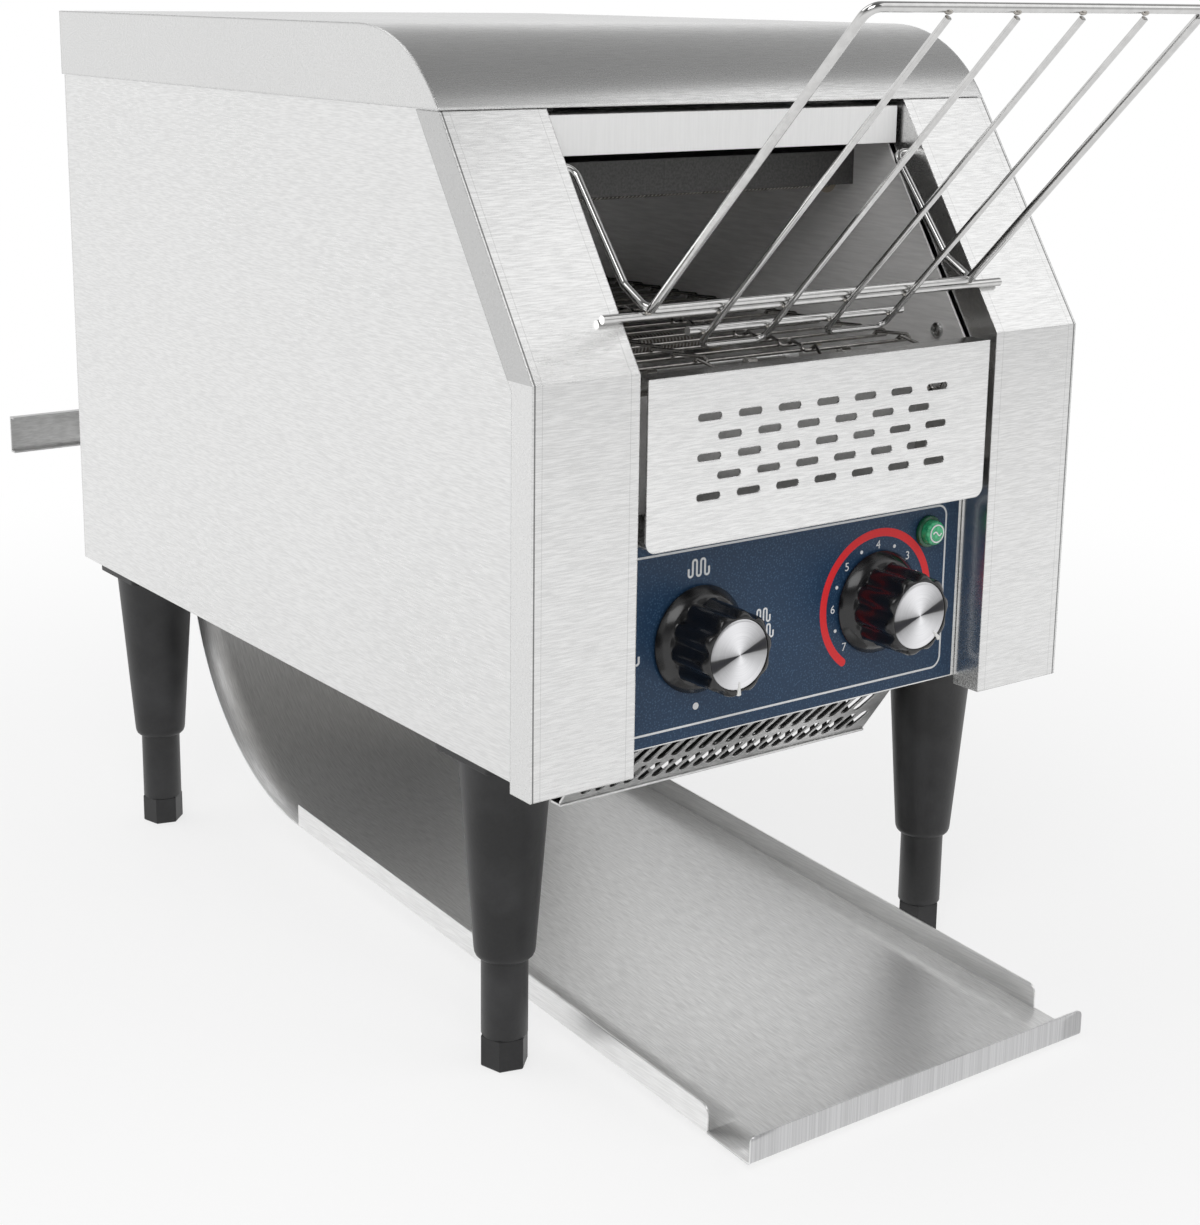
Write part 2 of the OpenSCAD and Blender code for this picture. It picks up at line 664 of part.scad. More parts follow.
module drive_chain() color("dimgray") placed() translate([chain_x, front_shaft_y, shaft_z])
    for (i = [0:link_count - 1]) {
        outer = i % 2 == 0;
        for (s = [-1, 1]) translate([s * (outer ? 3 : 2), 0, 0])
            across(-0.4, 0.4) link_plate(chain_pin(i), chain_pin(i + 1));
        translate([0, chain_pin(i)[0], chain_pin(i)[1]]) {
            bar_x(-3.6, 3.6, 1);
            bar_x(-1.6, 1.6, roller_d / 2);
        }
    }

// Gear motor on the right inner wall: gearbox, round motor and tail cap
module gear_motor() color("gray") placed() translate([wall_x, motor_y, motor_z]) {
    box_w = 56;
    box_d = 26;
    difference() {
        translate([-box_d, 0, 0]) across(0, box_d) rounded2d(box_w, 62, 6);
        bar_x(-9, over, motor_shaft_d / 2 + fit);
    }
    translate([-box_d - 52, 0, 0]) difference() {
        bar_x(0, 52, 25);
        for (a = [0:45:315]) rotate([a, 0, 0]) translate([12, 0, 25.2]) bar_x(0, 28, 1.6);
    }
    bar_x(-box_d - 60, -box_d - 52, 10);
}

// ---- Controls ----

// Rotary heat selector behind the panel
module heat_switch() color("ivory") placed() translate([heat_x, wall_front, knob_z]) difference() {
    union() {
        back(0, 4) rounded2d(34, 40, 3);
        back(4, 26) rounded2d(38, 38, 5);
        for (x = [-12, 0, 12], z = [-12, 12])
            translate([x, 0, z]) back(26, 33) square([6, 0.8], center = true);
    }
    bar_y(-over, 18, spindle_d / 2 + fit);
}
// Speed potentiometer with its regulator board
module speed_at_wall() placed() translate([speed_x, wall_front, knob_z]) children();
module speed_control() color("darkolivegreen") speed_at_wall() difference() {
    union() {
        bar_y(0, 8, 5.5);
        bar_y(8, 20, 12);
        translate([-8, 20, -24]) cube([31, 1.6, 52]);
        for (z = [-18, 18]) translate([14, 0, z]) bar_y(21.6, 34, 6);
        translate([-4, 21.6, -14]) cube([8, 12, 28]);
    }
    bar_y(-over, 17, spindle_d / 2 + fit);
}

// Knob: a bevelled skirt, a fluted grip and a bore for the spindle; it points down at angle 0
skirt_t = 5;
knob_gap = 0.8;
grip_r = knob_d / 2 - 4.5;
flutes = 10;
function flute_wave(a) = grip_r - 1.1 - 1.1 * cos(flutes * a);
module knob() {
    rotate([90, 0, 0]) difference() {
        union() {
            translate([0, 0, knob_gap]) cylinder(r1 = knob_d / 2, r2 = knob_d / 2 - 2.6, h = skirt_t);
            translate([0, 0, knob_gap + 1]) linear_extrude(knob_h - knob_gap - 1)
                polygon([for (a = [0:4:356]) polar(flute_wave(a), a)]);
        }
        translate([0, 0, knob_h - cap_t]) cylinder(r = grip_r - 3 + fit, h = cap_t + over);
        translate([0, 0, -over]) cylinder(d = spindle_d, h = knob_h - 7 + over);
    }
}
module knob_cap() rotate([90, 0, 0]) translate([0, 0, knob_h - cap_t])
    cylinder(r = grip_r - 3, h = cap_t + 0.3);
module spindle() bar_y(-knob_h + 7, 14, spindle_d / 2);
module heat_at() placed() translate([heat_x, panel_y, knob_z]) children();
module speed_at() placed() translate([speed_x, panel_y, knob_z]) rotate([0, -45, 0]) children();
module heat_knob() color("black") heat_at() knob();
module heat_knob_cap() color("silver") heat_at() knob_cap();
module heat_spindle() color("gray") heat_at() spindle();
module speed_knob() color("black") speed_at() knob();
module speed_knob_cap() color("silver") speed_at() knob_cap();
module speed_spindle() color("gray") speed_at() spindle();

module lamp_at() placed() translate([lamp_x, panel_y, lamp_z]) children();
module lamp_body() color("black") lamp_at() {
    bar_y(0, 24, lamp_d / 2 - 1);
    for (x = [-2, 2]) translate([x - 0.4, 24, -2]) cube([0.8, 8, 4]);
}
module lamp_lens() color("green") lamp_at() {
    bar_y(-2, 0, lamp_d / 2 + 1.6);
    bar_y(-5.6, -2, lamp_d / 2);
    translate([0, -5.6, 0]) rotate([90, 0, 0]) cylinder(r1 = lamp_d / 2, r2 = lamp_d / 2 - 0.8, h = 0.8);
}

// ---- Rear ----

module terminal_block() color("ivory") placed() translate([-wall_x - 34, back_y - 96, floor_z]) {
    cube([16, 44, 8]);
    for (i = [0:3]) translate([1, 2 + i * 11, 8]) cube([14, 7, 8]);
}
module cord_gland() color("black") placed() translate([gland_x, back_y, gland_z]) difference() {
    union() {
        bar_y(-8, sheet, gland_r);
        bar_y(sheet, sheet + 3, gland_r + 3);
        translate([0, sheet + 3, 0]) rotate([-90, 0, 0])
            cylinder(r1 = gland_r + 1, r2 = gland_r - 2.5, h = 9);
        bar_y(-5, 0, gland_r + 2.5);
    }
    bar_y(-8 - over, 16, 4);
}

// Bracket on the rear panel that carries the slide: a rod in its hook, a sill it leans on
hanger_w = drop_w + 12;
module slide_hanger() color("silver") placed() {
    y0 = slide_back_y + sheet / 2 + seat;
    z0 = slide_mid_z;
    high = hook_z + 10 - z0;
    translate([-hanger_w / 2, back_y - sheet, z0]) cube([hanger_w, sheet, high]);
    translate([-slide_w / 2, y0, z0]) cube([slide_w, back_y - y0, sheet]);
    both_sides() translate([drop_w / 2, hook_y - 6, z0]) cube([sheet, back_y - hook_y + 6, high]);
    translate([0, hook_y, hook_z]) bar_x(-drop_w / 2, drop_w / 2, hook_r - sheet / 2 - fit);
}

// Channel bar on two arms that keeps the toaster off the wall
module wall_spacer() color("silver") placed() translate([0, 0, spacer_z]) {
    y0 = back_y + sheet;
    y1 = body_d + spacer_d;
    flange = 5;
    translate([-body_w / 2, y1 - sheet, -spacer_h / 2]) cube([body_w, sheet, spacer_h]);
    for (z = [-spacer_h / 2, spacer_h / 2 - sheet])
        translate([-body_w / 2, y1 - flange, z]) cube([body_w, flange, sheet]);
    both_sides() {
        translate([arm_x, y0, -spacer_h / 2]) cube([sheet, y1 - y0, spacer_h]);
        translate([arm_x, y0, -spacer_h / 2]) cube([22, sheet, spacer_h]);
        translate([arm_x, y1 - flange - 14, -spacer_h / 2]) cube([14, 14, sheet]);
    }
}

// ---- Legs ----

module leg_at(sx, y) placed() translate([sx * leg_x, y, skirt_z]) children();
module leg_sleeve() difference() {
    union() {
        translate([0, 0, -plate_t]) linear_extrude(plate_t) rounded2d(plate_w, plate_w, 4);
        translate([0, 0, -sleeve_h + 4])
            cylinder(r1 = sleeve_end_r, r2 = sleeve_top_r, h = sleeve_h - 4 - plate_t + 0.5);
        translate([0, 0, -sleeve_h]) cylinder(r1 = foot_d / 2 + 1.2, r2 = sleeve_end_r, h = 4);
    }
    translate([0, 0, -sleeve_h - over])
        cylinder(d = foot_d + 2 * fit, h = foot_travel + foot_grip + 3 + over);
}
module foot() translate([0, 0, -stand_h - skirt_z]) {
    cylinder(d = foot_d, h = hex_h, $fn = 6);
    translate([0, 0, hex_h]) cylinder(d = foot_d, h = stand_h + skirt_z - sleeve_h + foot_grip - hex_h);
}
module leg_sleeve_front_left() color("dimgray") leg_at(-1, leg_front_y) leg_sleeve();
module leg_sleeve_front_right() color("dimgray") leg_at(1, leg_front_y) leg_sleeve();
module leg_sleeve_rear_left() color("dimgray") leg_at(-1, leg_rear_y) leg_sleeve();
module leg_sleeve_rear_right() color("dimgray") leg_at(1, leg_rear_y) leg_sleeve();
module foot_front_left() color("dimgray") leg_at(-1, leg_front_y) foot();
module foot_front_right() color("dimgray") leg_at(1, leg_front_y) foot();
module foot_rear_left() color("dimgray") leg_at(-1, leg_rear_y) foot();
module foot_rear_right() color("dimgray") leg_at(1, leg_rear_y) foot();

// ---- Loading rack ----

function at_x(x, p) = [x, p.y, p.z];
function ups_for(pts, v) = [for (p = pts) v];
module rack_wire(corners, up, d, r) {
    pts = bent(corners, r, 4);
    tube(pts, ups_for(pts, up), d, 12);
}
module rack_frame() color("silver") placed() {
    h = rack_w / 2;
    g = h - 1.5;
    // hoop: up one side, across the top and down the other side
    rack_wire([at_x(-g, frame_p), at_x(-g, top_p), at_x(g, top_p), at_x(g, frame_p)],
        rack_n, rack_wire_d, rack_bend);
    // lower wire: along the front, back into the casing and up behind the columns
    lower = [at_x(-h, pivot_p), at_x(-h, elbow_p), at_x(-h, frame_p), at_x(h, frame_p),
        at_x(h, elbow_p), at_x(h, pivot_p)];
    rack_wire(lower, -in_v, rack_wire_d, rack_bend);
    both_sides() translate([h - 1, pivot_p.y, pivot_p.z]) bar_x(0, inner_x + sheet + 2 - h, rack_wire_d / 2);
}
module rack_bars() color("silver") placed() {
    translate([0, bar_p.y, bar_p.z]) bar_x(-rack_bar_w / 2, rack_bar_w / 2, rack_wire_d / 2);
    low = bar_p - bar_drop * rack_v;
    translate([0, low.y, low.z]) bar_x(-rack_w / 3, rack_w / 3, rack_wire_d / 2);
}
module rack_tines() color("silver") placed() for (s = [-1, 1]) {
    a = s * tine_pitch - tine_pitch / 2;
    b = a + tine_pitch;
    low = bar_p - tine_drop * rack_v + tine_shift;
    high = top_p - rack_wire_d / 2 * rack_v + tine_shift;
    rack_wire([at_x(a, high), at_x(a, low), at_x(b, low), at_x(b, high)], rack_n, tine_d, rack_bend);
}

// ---- Toast slide ----

// Its side view as one strip: hooked edge, upright, bend and flat, h from its middle line
function slide_side(h) = concat(
    [for (k = [12:-1:1]) [hook_y, hook_z] + polar(hook_r + h, 15 * k)],
    [[slide_back_y + h, hook_z]],
    [for (k = [24:-1:0]) [bend_y, slide_mid_z] + polar(slide_r + h, (slide_fall - 90) * (1 - k / 24))],
    [slide_from + slide_flat * polar(1, 180 + slide_fall) + h * polar(1, slide_fall - 90)]);
module slide2d() polygon(concat(slide_side(sheet / 2), reversed(slide_side(-sheet / 2))));
module toast_slide() color("gainsboro") placed() {
    across(-slide_w / 2, slide_w / 2) slide2d();
    // side flanges, cut upright at the rear and stopping short of the lip
    both_sides() across(slide_w / 2 - sheet, slide_w / 2) intersection() {
        translate(slide_from) rotate(180 + slide_fall)
            translate([0, -slide_lip]) square([slide_flat - flange_gap, slide_lip]);
        translate([-slide_reach - over, -2 * stand_h])
            square([slide_from[0] + slide_reach - over, 3 * stand_h]);
    }
    // front lip with rounded upper corners
    lip_z = slide_from[1] - slide_flat * sin(slide_fall) - sheet;
    lip_r = 2.5;
    translate([0, 0, lip_z]) back(-slide_reach - sheet, -slide_reach) {
        translate([-slide_w / 2, 0]) square([slide_w, slide_lip - lip_r]);
        translate([-slide_w / 2 + lip_r, 0]) square([slide_w - 2 * lip_r, slide_lip]);
        for (x = [-1, 1]) translate([x * (slide_w / 2 - lip_r), slide_lip - lip_r]) circle(r = lip_r);
    }
}

// ---- Fasteners ----

module screw_head() {
    cylinder(r = 3.5, h = 1.6);
    translate([0, 0, -sheet - 2]) cylinder(d = screw_d - 2 * fit, h = sheet + 2.1);
}
module casing_screws() color("silver") placed() both_sides() for (z = casing_screw_z)
    translate([body_w / 2 - 8, back_y + sheet, z]) rotate([-90, 0, 0]) screw_head();
module wall_screws() color("silver") placed()
    both_sides() translate([wall_x, wall_screw_y, wall_screw_z]) rotate([0, -90, 0]) screw_head();

side_panel_left();
side_panel_right();
top_cover();
front_column_left();
front_column_right();
rear_panel();
base_plate();
vent_panel();
control_panel();
belly_grille();
inner_wall_left();
inner_wall_right();
header_strip();
upper_reflector();
lower_reflector();
compartment_shield();
vent_shield();
upper_elements();
lower_elements();
element_caps();
belt_rails();
wire_belt();
shaft_bearings();
front_shaft();
front_belt_wheels();
chain_wheel();
rear_shaft();
rear_belt_wheels();
drive_chain();
gear_motor();
motor_wheel();
heat_switch();
heat_knob();
heat_knob_cap();
heat_spindle();
speed_control();
speed_knob();
speed_knob_cap();
speed_spindle();
lamp_body();
lamp_lens();
terminal_block();
cord_gland();
slide_hanger();
wall_spacer();
leg_sleeve_front_left();
leg_sleeve_front_right();
leg_sleeve_rear_left();
leg_sleeve_rear_right();
foot_front_left();
foot_front_right();
foot_rear_left();
foot_rear_right();
rack_frame();
rack_bars();
rack_tines();
toast_slide();
casing_screws();
wall_screws();
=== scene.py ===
import math

import bmesh
import bpy
from mathutils import Matrix, Vector


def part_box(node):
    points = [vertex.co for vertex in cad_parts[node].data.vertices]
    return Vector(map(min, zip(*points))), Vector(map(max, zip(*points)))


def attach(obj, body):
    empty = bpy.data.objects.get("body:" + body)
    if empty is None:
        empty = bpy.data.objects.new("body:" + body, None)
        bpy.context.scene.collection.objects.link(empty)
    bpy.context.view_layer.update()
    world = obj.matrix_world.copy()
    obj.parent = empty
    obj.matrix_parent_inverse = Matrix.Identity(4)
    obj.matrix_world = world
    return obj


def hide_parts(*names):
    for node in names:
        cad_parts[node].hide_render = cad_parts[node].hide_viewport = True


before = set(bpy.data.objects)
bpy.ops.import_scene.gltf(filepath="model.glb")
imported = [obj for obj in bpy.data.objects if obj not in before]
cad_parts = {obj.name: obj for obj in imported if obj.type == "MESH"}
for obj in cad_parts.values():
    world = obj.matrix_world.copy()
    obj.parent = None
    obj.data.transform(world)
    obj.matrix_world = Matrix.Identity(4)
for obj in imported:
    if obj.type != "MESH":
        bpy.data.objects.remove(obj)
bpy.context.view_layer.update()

# ---------------------------------------------------------------- camera and studio
# A camera a little above the counter, off the toaster's left corner, a pale floor, and
# three wide softboxes. The room is white behind the toaster and grey overhead and in front,
# so that bent sheet and round wire show their form.

column_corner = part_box("front_column_left")[0]
front_y, casing_z = column_corner.y, column_corner.z


def at(x, y, z):
    """A point given in millimetres from the columns' front faces and lower ends."""
    return Vector((x / 1000, front_y + y / 1000, casing_z + z / 1000))


camera_data = bpy.data.cameras.new("camera")
camera = bpy.data.objects.new("camera", camera_data)
bpy.context.scene.collection.objects.link(camera)
bpy.context.scene.camera = camera
camera_turn, camera_tilt, camera_roll = (math.radians(a) for a in (-36.32, 13.15, 0.75))
camera_back = Vector((math.sin(camera_turn) * math.cos(camera_tilt),
                      -math.cos(camera_turn) * math.cos(camera_tilt), math.sin(camera_tilt)))
camera_level = Vector((0, 0, 1)).cross(camera_back).normalized()
camera_rise = camera_back.cross(camera_level)
camera_right = camera_level * math.cos(camera_roll) + camera_rise * math.sin(camera_roll)
camera_up = camera_rise * math.cos(camera_roll) - camera_level * math.sin(camera_roll)
turned = Matrix((camera_right, camera_up, camera_back)).transposed().to_4x4()
camera_place = at(-577, -631, 300)
camera.matrix_world = Matrix.Translation(camera_place) @ turned
frame_height, focal_length, lens_drop = 1225, 2155, 120      # in pixels
camera_data.sensor_width = 36
camera_data.lens = focal_length / frame_height * camera_data.sensor_width
camera_data.shift_y = -lens_drop / frame_height
camera_data.clip_start, camera_data.clip_end = 0.01, 40


def softbox(name, place, width, height, power):
    """A rectangular area lamp turned to the toaster's middle."""
    data = bpy.data.lights.new(name, "AREA")
    data.shape, data.size, data.size_y, data.energy = "RECTANGLE", width, height, power
    lamp = bpy.data.objects.new(name, data)
    bpy.context.scene.collection.objects.link(lamp)
    lamp.location = place
    lamp.rotation_euler = (Vector(place) - Vector((0, 0, 0.2))).to_track_quat("Z", "Y").to_euler()


softbox("softbox left", (-1.0, -1.2, 1.6), 1.2, 1.1, 11.5)
softbox("softbox right", (1.5, -1.55, 1.75), 2.0, 1.7, 10)
softbox("softbox above", (-0.7, 0.9, 2.3), 1.6, 1.6, 12)


def maths(nodes, links, operation, *values, clamp=False):
    """A Math node fed with sockets or plain numbers; returns its output."""
    node = nodes.new("ShaderNodeMath")
    node.operation, node.use_clamp = operation, clamp
    for socket, value in zip(node.inputs, values):
        if isinstance(value, (int, float)):
            socket.default_value = value
        else:
            links.new(value, socket)
    return node.outputs[0]


def smooth_step(nodes, links, value, low, high, start=0.0):
    """A soft rise from start to 1 while a value runs from low to high."""
    step = nodes.new("ShaderNodeMapRange")
    step.interpolation_type = "SMOOTHSTEP"
    step.inputs["From Min"].default_value, step.inputs["From Max"].default_value = low, high
    step.inputs["To Min"].default_value = start
    links.new(value, step.inputs["Value"])
    return step.outputs[0]


def ramp(nodes, links, value, *stops):
    """A colour ramp; each stop is a place from 0 to 1 and a colour."""
    node = nodes.new("ShaderNodeValToRGB")
    elements = node.color_ramp.elements
    for element, (place, colour) in zip(elements, (stops[0], stops[-1])):
        element.position, element.color = place, (*colour, 1)
    for place, colour in stops[1:-1]:
        elements.new(place).color = (*colour, 1)
    links.new(value, node.inputs["Fac"])
    return node.outputs["Color"]


def greys(*stops):
    """Stops of a ramp that are all grey, each a place and one value."""
    return [(place, (grey, grey, grey)) for place, grey in stops]


def clear_rays(nodes, links):
    """1 for rays from the camera and for mirrored or refracted ones, 0 for the rest."""
    path = nodes.new("ShaderNodeLightPath")
    mirrored = maths(nodes, links, "MAXIMUM", path.outputs["Is Camera Ray"], path.outputs["Is Glossy Ray"])
    return maths(nodes, links, "MAXIMUM", mirrored, path.outputs["Is Transmission Ray"])


def white_side(nodes, links, way):
    """1 for directions behind the toaster, where the room is white, down to 0 in front of it."""
    turned_to = nodes.new("ShaderNodeVectorMath")
    turned_to.operation = "DOT_PRODUCT"
    turned_to.inputs[1].default_value = (0.35, 0.94, 0.0)
    links.new(way, turned_to.inputs[0])
    return smooth_step(nodes, links, turned_to.outputs["Value"], -0.45, 0.15)


world = bpy.data.worlds.new("studio")
bpy.context.scene.world = world
world.use_nodes = True
nodes, links = world.node_tree.nodes, world.node_tree.links
nodes.clear()
out = nodes.new("ShaderNodeOutputWorld")
coords = nodes.new("ShaderNodeTexCoord")
split = nodes.new("ShaderNodeSeparateXYZ")
links.new(coords.outputs["Generated"], split.inputs[0])
height = split.outputs["Z"]
walls = ramp(nodes, links, height,
             *greys((0, 1.0), (0.16, 1.0), (0.32, 0.82), (0.52, 0.44), (0.80, 0.30), (1, 0.20)))
front_walls = ramp(nodes, links, height, *greys((0.08, 0.62), (0.30, 0.15)))
room = nodes.new("ShaderNodeMix")
room.data_type = "RGBA"
seen, filling = nodes.new("ShaderNodeBackground"), nodes.new("ShaderNodeBackground")
filling.inputs["Strength"].default_value = 0.5
filling.inputs["Color"].default_value = (1, 1, 1, 1)
choose = nodes.new("ShaderNodeMixShader")
for a, b in ((white_side(nodes, links, coords.outputs["Generated"]), room.inputs["Factor"]),
             (front_walls, room.inputs["A"]), (walls, room.inputs["B"]),
             (room.outputs["Result"], seen.inputs["Color"]), (clear_rays(nodes, links), choose.inputs["Fac"]),
             (filling.outputs[0], choose.inputs[1]), (seen.outputs[0], choose.inputs[2]),
             (choose.outputs[0], out.inputs["Surface"])):
    links.new(a, b)


def new_material(name):
    """A material with nothing in it but a Principled shader and its output."""
    material = bpy.data.materials.new(name)
    material.use_nodes = True
    nodes, links = material.node_tree.nodes, material.node_tree.links
    nodes.clear()
    shader = nodes.new("ShaderNodeBsdfPrincipled")
    output = nodes.new("ShaderNodeOutputMaterial")
    links.new(shader.outputs[0], output.inputs["Surface"])
    return material, nodes, links, shader


def piece_of(name, mesh, material, smooth=None):
    """An object for a mesh in place; edges up to smooth degrees are shaded round."""
    if material:
        mesh.materials.clear()
        mesh.materials.append(material)
    if smooth is not None:
        mesh.shade_smooth()
        mesh.set_sharp_from_angle(angle=math.radians(smooth))
    piece = bpy.data.objects.new(name, mesh)
    bpy.context.scene.collection.objects.link(piece)
    return piece


def mesh_of(name, vertices, faces, edges=()):
    """A mesh from plain lists, in metres."""
    mesh = bpy.data.meshes.new(name)
    mesh.from_pydata([tuple(v) for v in vertices], list(edges), list(faces))
    mesh.update()
    return mesh


floor_paint, nodes, links, shader = new_material("pale floor")
shader.inputs["Base Color"].default_value = (0.92, 0.92, 0.92, 1)
shader.inputs["Roughness"].default_value = 0.6
shader.inputs["Specular IOR Level"].default_value = 0.2
coords = nodes.new("ShaderNodeTexCoord")
reach = nodes.new("ShaderNodeVectorMath")
reach.operation = "LENGTH"
links.new(coords.outputs["Object"], reach.inputs[0])
away = nodes.new("ShaderNodeVectorMath")
away.operation = "NORMALIZE"
links.new(coords.outputs["Object"], away.inputs[0])

# near the toaster part of the floor is lit paint; further out it glows white, and dims in front
far = smooth_step(nodes, links, reach.outputs["Value"], 0.28, 0.95, 0.72)
seen_far = maths(nodes, links, "MULTIPLY", far, clear_rays(nodes, links))
out_far = smooth_step(nodes, links, reach.outputs["Value"], 1.2, 3.4)
front_side = maths(nodes, links, "SUBTRACT", 1.0, white_side(nodes, links, away.outputs[0]))
dim = maths(nodes, links, "MULTIPLY_ADD", maths(nodes, links, "MULTIPLY", out_far, front_side), -0.38, 1.0)
glow = nodes.new("ShaderNodeEmission")
links.new(dim, glow.inputs["Color"])
blend = nodes.new("ShaderNodeMixShader")
for a, b in ((seen_far, blend.inputs["Fac"]), (shader.outputs[0], blend.inputs[1]),
             (glow.outputs[0], blend.inputs[2]),
             (blend.outputs[0], nodes["Material Output"].inputs["Surface"])):
    links.new(a, b)
floor_corners = [(-25, -25, 0), (25, -25, 0), (25, 25, 0), (-25, 25, 0)]
floor = piece_of("floor", mesh_of("floor", floor_corners, [(0, 1, 2, 3)]), floor_paint)
bpy.context.scene.view_settings.view_transform = "Standard"

# ---------------------------------------------------------------- casing sheets
# The side panels, front columns, cover and rear panel are 1 mm stainless sheet with a fine
# ground grain that runs level along the casing, bent on a press, spot welded and screwed.


def shader_group(name, ins, outs):
    """An empty shader group with its sockets: name, type and, for an input, its value."""
    group = bpy.data.node_groups.new(name, "ShaderNodeTree")
    for label, kind, value in ins:
        group.interface.new_socket(name=label, in_out="INPUT", socket_type=kind).default_value = value
    for label, kind in outs:
        group.interface.new_socket(name=label, in_out="OUTPUT", socket_type=kind)
    return group, group.nodes.new("NodeGroupInput"), group.nodes.new("NodeGroupOutput")


def blended(nodes, links, amount, dark, bright):
    """The colour that an amount from 0 to 1 gives between two others."""
    tone = nodes.new("ShaderNodeMix")
    tone.data_type = "RGBA"
    for value, label in ((amount, "Factor"), (dark, "A"), (bright, "B")):
        links.new(value, tone.inputs[label])
    return tone.outputs["Result"]


def relief_and_edges(nodes, links, given, height, depth, distance):
    """A normal that rounds the edges and lays a fine relief over the faces."""
    edge = nodes.new("ShaderNodeBevel")
    edge.samples = 4
    links.new(given.outputs["Edge Radius"], edge.inputs["Radius"])
    relief = nodes.new("ShaderNodeBump")
    relief.inputs["Distance"].default_value = distance
    links.new(given.outputs[depth], relief.inputs["Strength"])
    links.new(height, relief.inputs["Height"])
    links.new(edge.outputs[0], relief.inputs["Normal"])
    return relief.outputs[0]


surface_outs = [("Color", "NodeSocketColor"), ("Roughness", "NodeSocketFloat"), ("Normal", "NodeSocketVector")]
ground_sheet, given, made = shader_group("ground sheet", [
    ("Place", "NodeSocketVector", (0, 0, 0)), ("Grain", "NodeSocketVector", (900, 220, 1900)),
    ("Bright", "NodeSocketColor", (0.8, 0.8, 0.8, 1)), ("Dark", "NodeSocketColor", (0.7, 0.7, 0.7, 1)),
    ("Roughness", "NodeSocketFloat", 0.3), ("Grain Depth", "NodeSocketFloat", 0.3),
    ("Marks", "NodeSocketFloat", 0.5), ("Edge Radius", "NodeSocketFloat", 0.0005)], surface_outs)
nodes, links = ground_sheet.nodes, ground_sheet.links
stretch = nodes.new("ShaderNodeVectorMath")
stretch.operation = "MULTIPLY"
links.new(given.outputs["Place"], stretch.inputs[0])
links.new(given.outputs["Grain"], stretch.inputs[1])
grain = nodes.new("ShaderNodeTexNoise")
grain.inputs["Scale"].default_value = 1.0
grain.inputs["Detail"].default_value = 2.0
grain.inputs["Roughness"].default_value = 0.6
links.new(stretch.outputs[0], grain.inputs["Vector"])
lines = nodes.new("ShaderNodeMapRange")
lines.inputs["From Min"].default_value, lines.inputs["From Max"].default_value = 0.35, 0.65
links.new(grain.outputs["Fac"], lines.inputs["Value"])
hands = nodes.new("ShaderNodeTexNoise")
hands.inputs["Scale"].default_value = 7.0
hands.inputs["Detail"].default_value = 2.0
links.new(given.outputs["Place"], hands.inputs["Vector"])
hand_marks = maths(nodes, links, "SUBTRACT", hands.outputs["Fac"], 0.5)
hand_marks = maths(nodes, links, "MULTIPLY", hand_marks, given.outputs["Marks"])
bright_lines = maths(nodes, links, "ADD", lines.outputs[0], hand_marks, clamp=True)
colour = blended(nodes, links, bright_lines, given.outputs["Dark"], given.outputs["Bright"])
links.new(colour, made.inputs["Color"])
streaks = maths(nodes, links, "MULTIPLY_ADD", lines.outputs[0], -0.06, given.outputs["Roughness"])
links.new(maths(nodes, links, "MULTIPLY_ADD", hand_marks, 0.22, streaks), made.inputs["Roughness"])
normal = relief_and_edges(nodes, links, given, grain.outputs["Fac"], "Grain Depth", 0.00004)
links.new(normal, made.inputs["Normal"])


def surfaced(name, group, values):
    """A material whose colour, roughness and normal come from a shared surface group."""
    material, nodes, links, shader = new_material(name)
    surface = nodes.new("ShaderNodeGroup")
    surface.node_tree = group
    for label, value in values:
        surface.inputs[label].default_value = value
    for ours, theirs in (("Color", "Base Color"), ("Roughness", "Roughness"), ("Normal", "Normal")):
        links.new(surface.outputs[ours], shader.inputs[theirs])
    return material, nodes, links, shader


def bare_metal(name, grain, bright, dark, roughness, depth, marks=0.5, edge=0.0005, tint=(1, 1, 0.995),
               metallic=1.0):
    """Bare sheet or turned metal whose scratches are long where the grain's number is low."""
    material, nodes, links, shader = surfaced(name, ground_sheet, (
        ("Grain", grain), ("Bright", (*(bright * t for t in tint), 1)),
        ("Dark", (*(dark * t for t in tint), 1)), ("Roughness", roughness),
        ("Grain Depth", depth), ("Marks", marks), ("Edge Radius", edge)))
    links.new(nodes.new("ShaderNodeTexCoord").outputs["Object"], nodes["Group"].inputs["Place"])
    shader.inputs["Metallic"].default_value = metallic
    return material


def marked(material, amount, colour, way="MULTIPLY"):
    """Lays a colour over a bare metal's own, as much as an amount from 0 to 1 gives."""
    nodes, links = material.node_tree.nodes, material.node_tree.links
    mark = nodes.new("ShaderNodeMix")
    mark.data_type, mark.blend_type = "RGBA", way
    mark.inputs["B"].default_value = (*colour, 1)
    links.new(amount, mark.inputs["Factor"])
    links.new(nodes["Group"].outputs["Color"], mark.inputs["A"])
    links.new(mark.outputs["Result"], nodes["Principled BSDF"].inputs["Base Color"])


def dress(material, *names):
    """Gives solids of the frame their material."""
    for name in names:
        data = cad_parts[name].data
        data.materials.clear()
        data.materials.append(material)


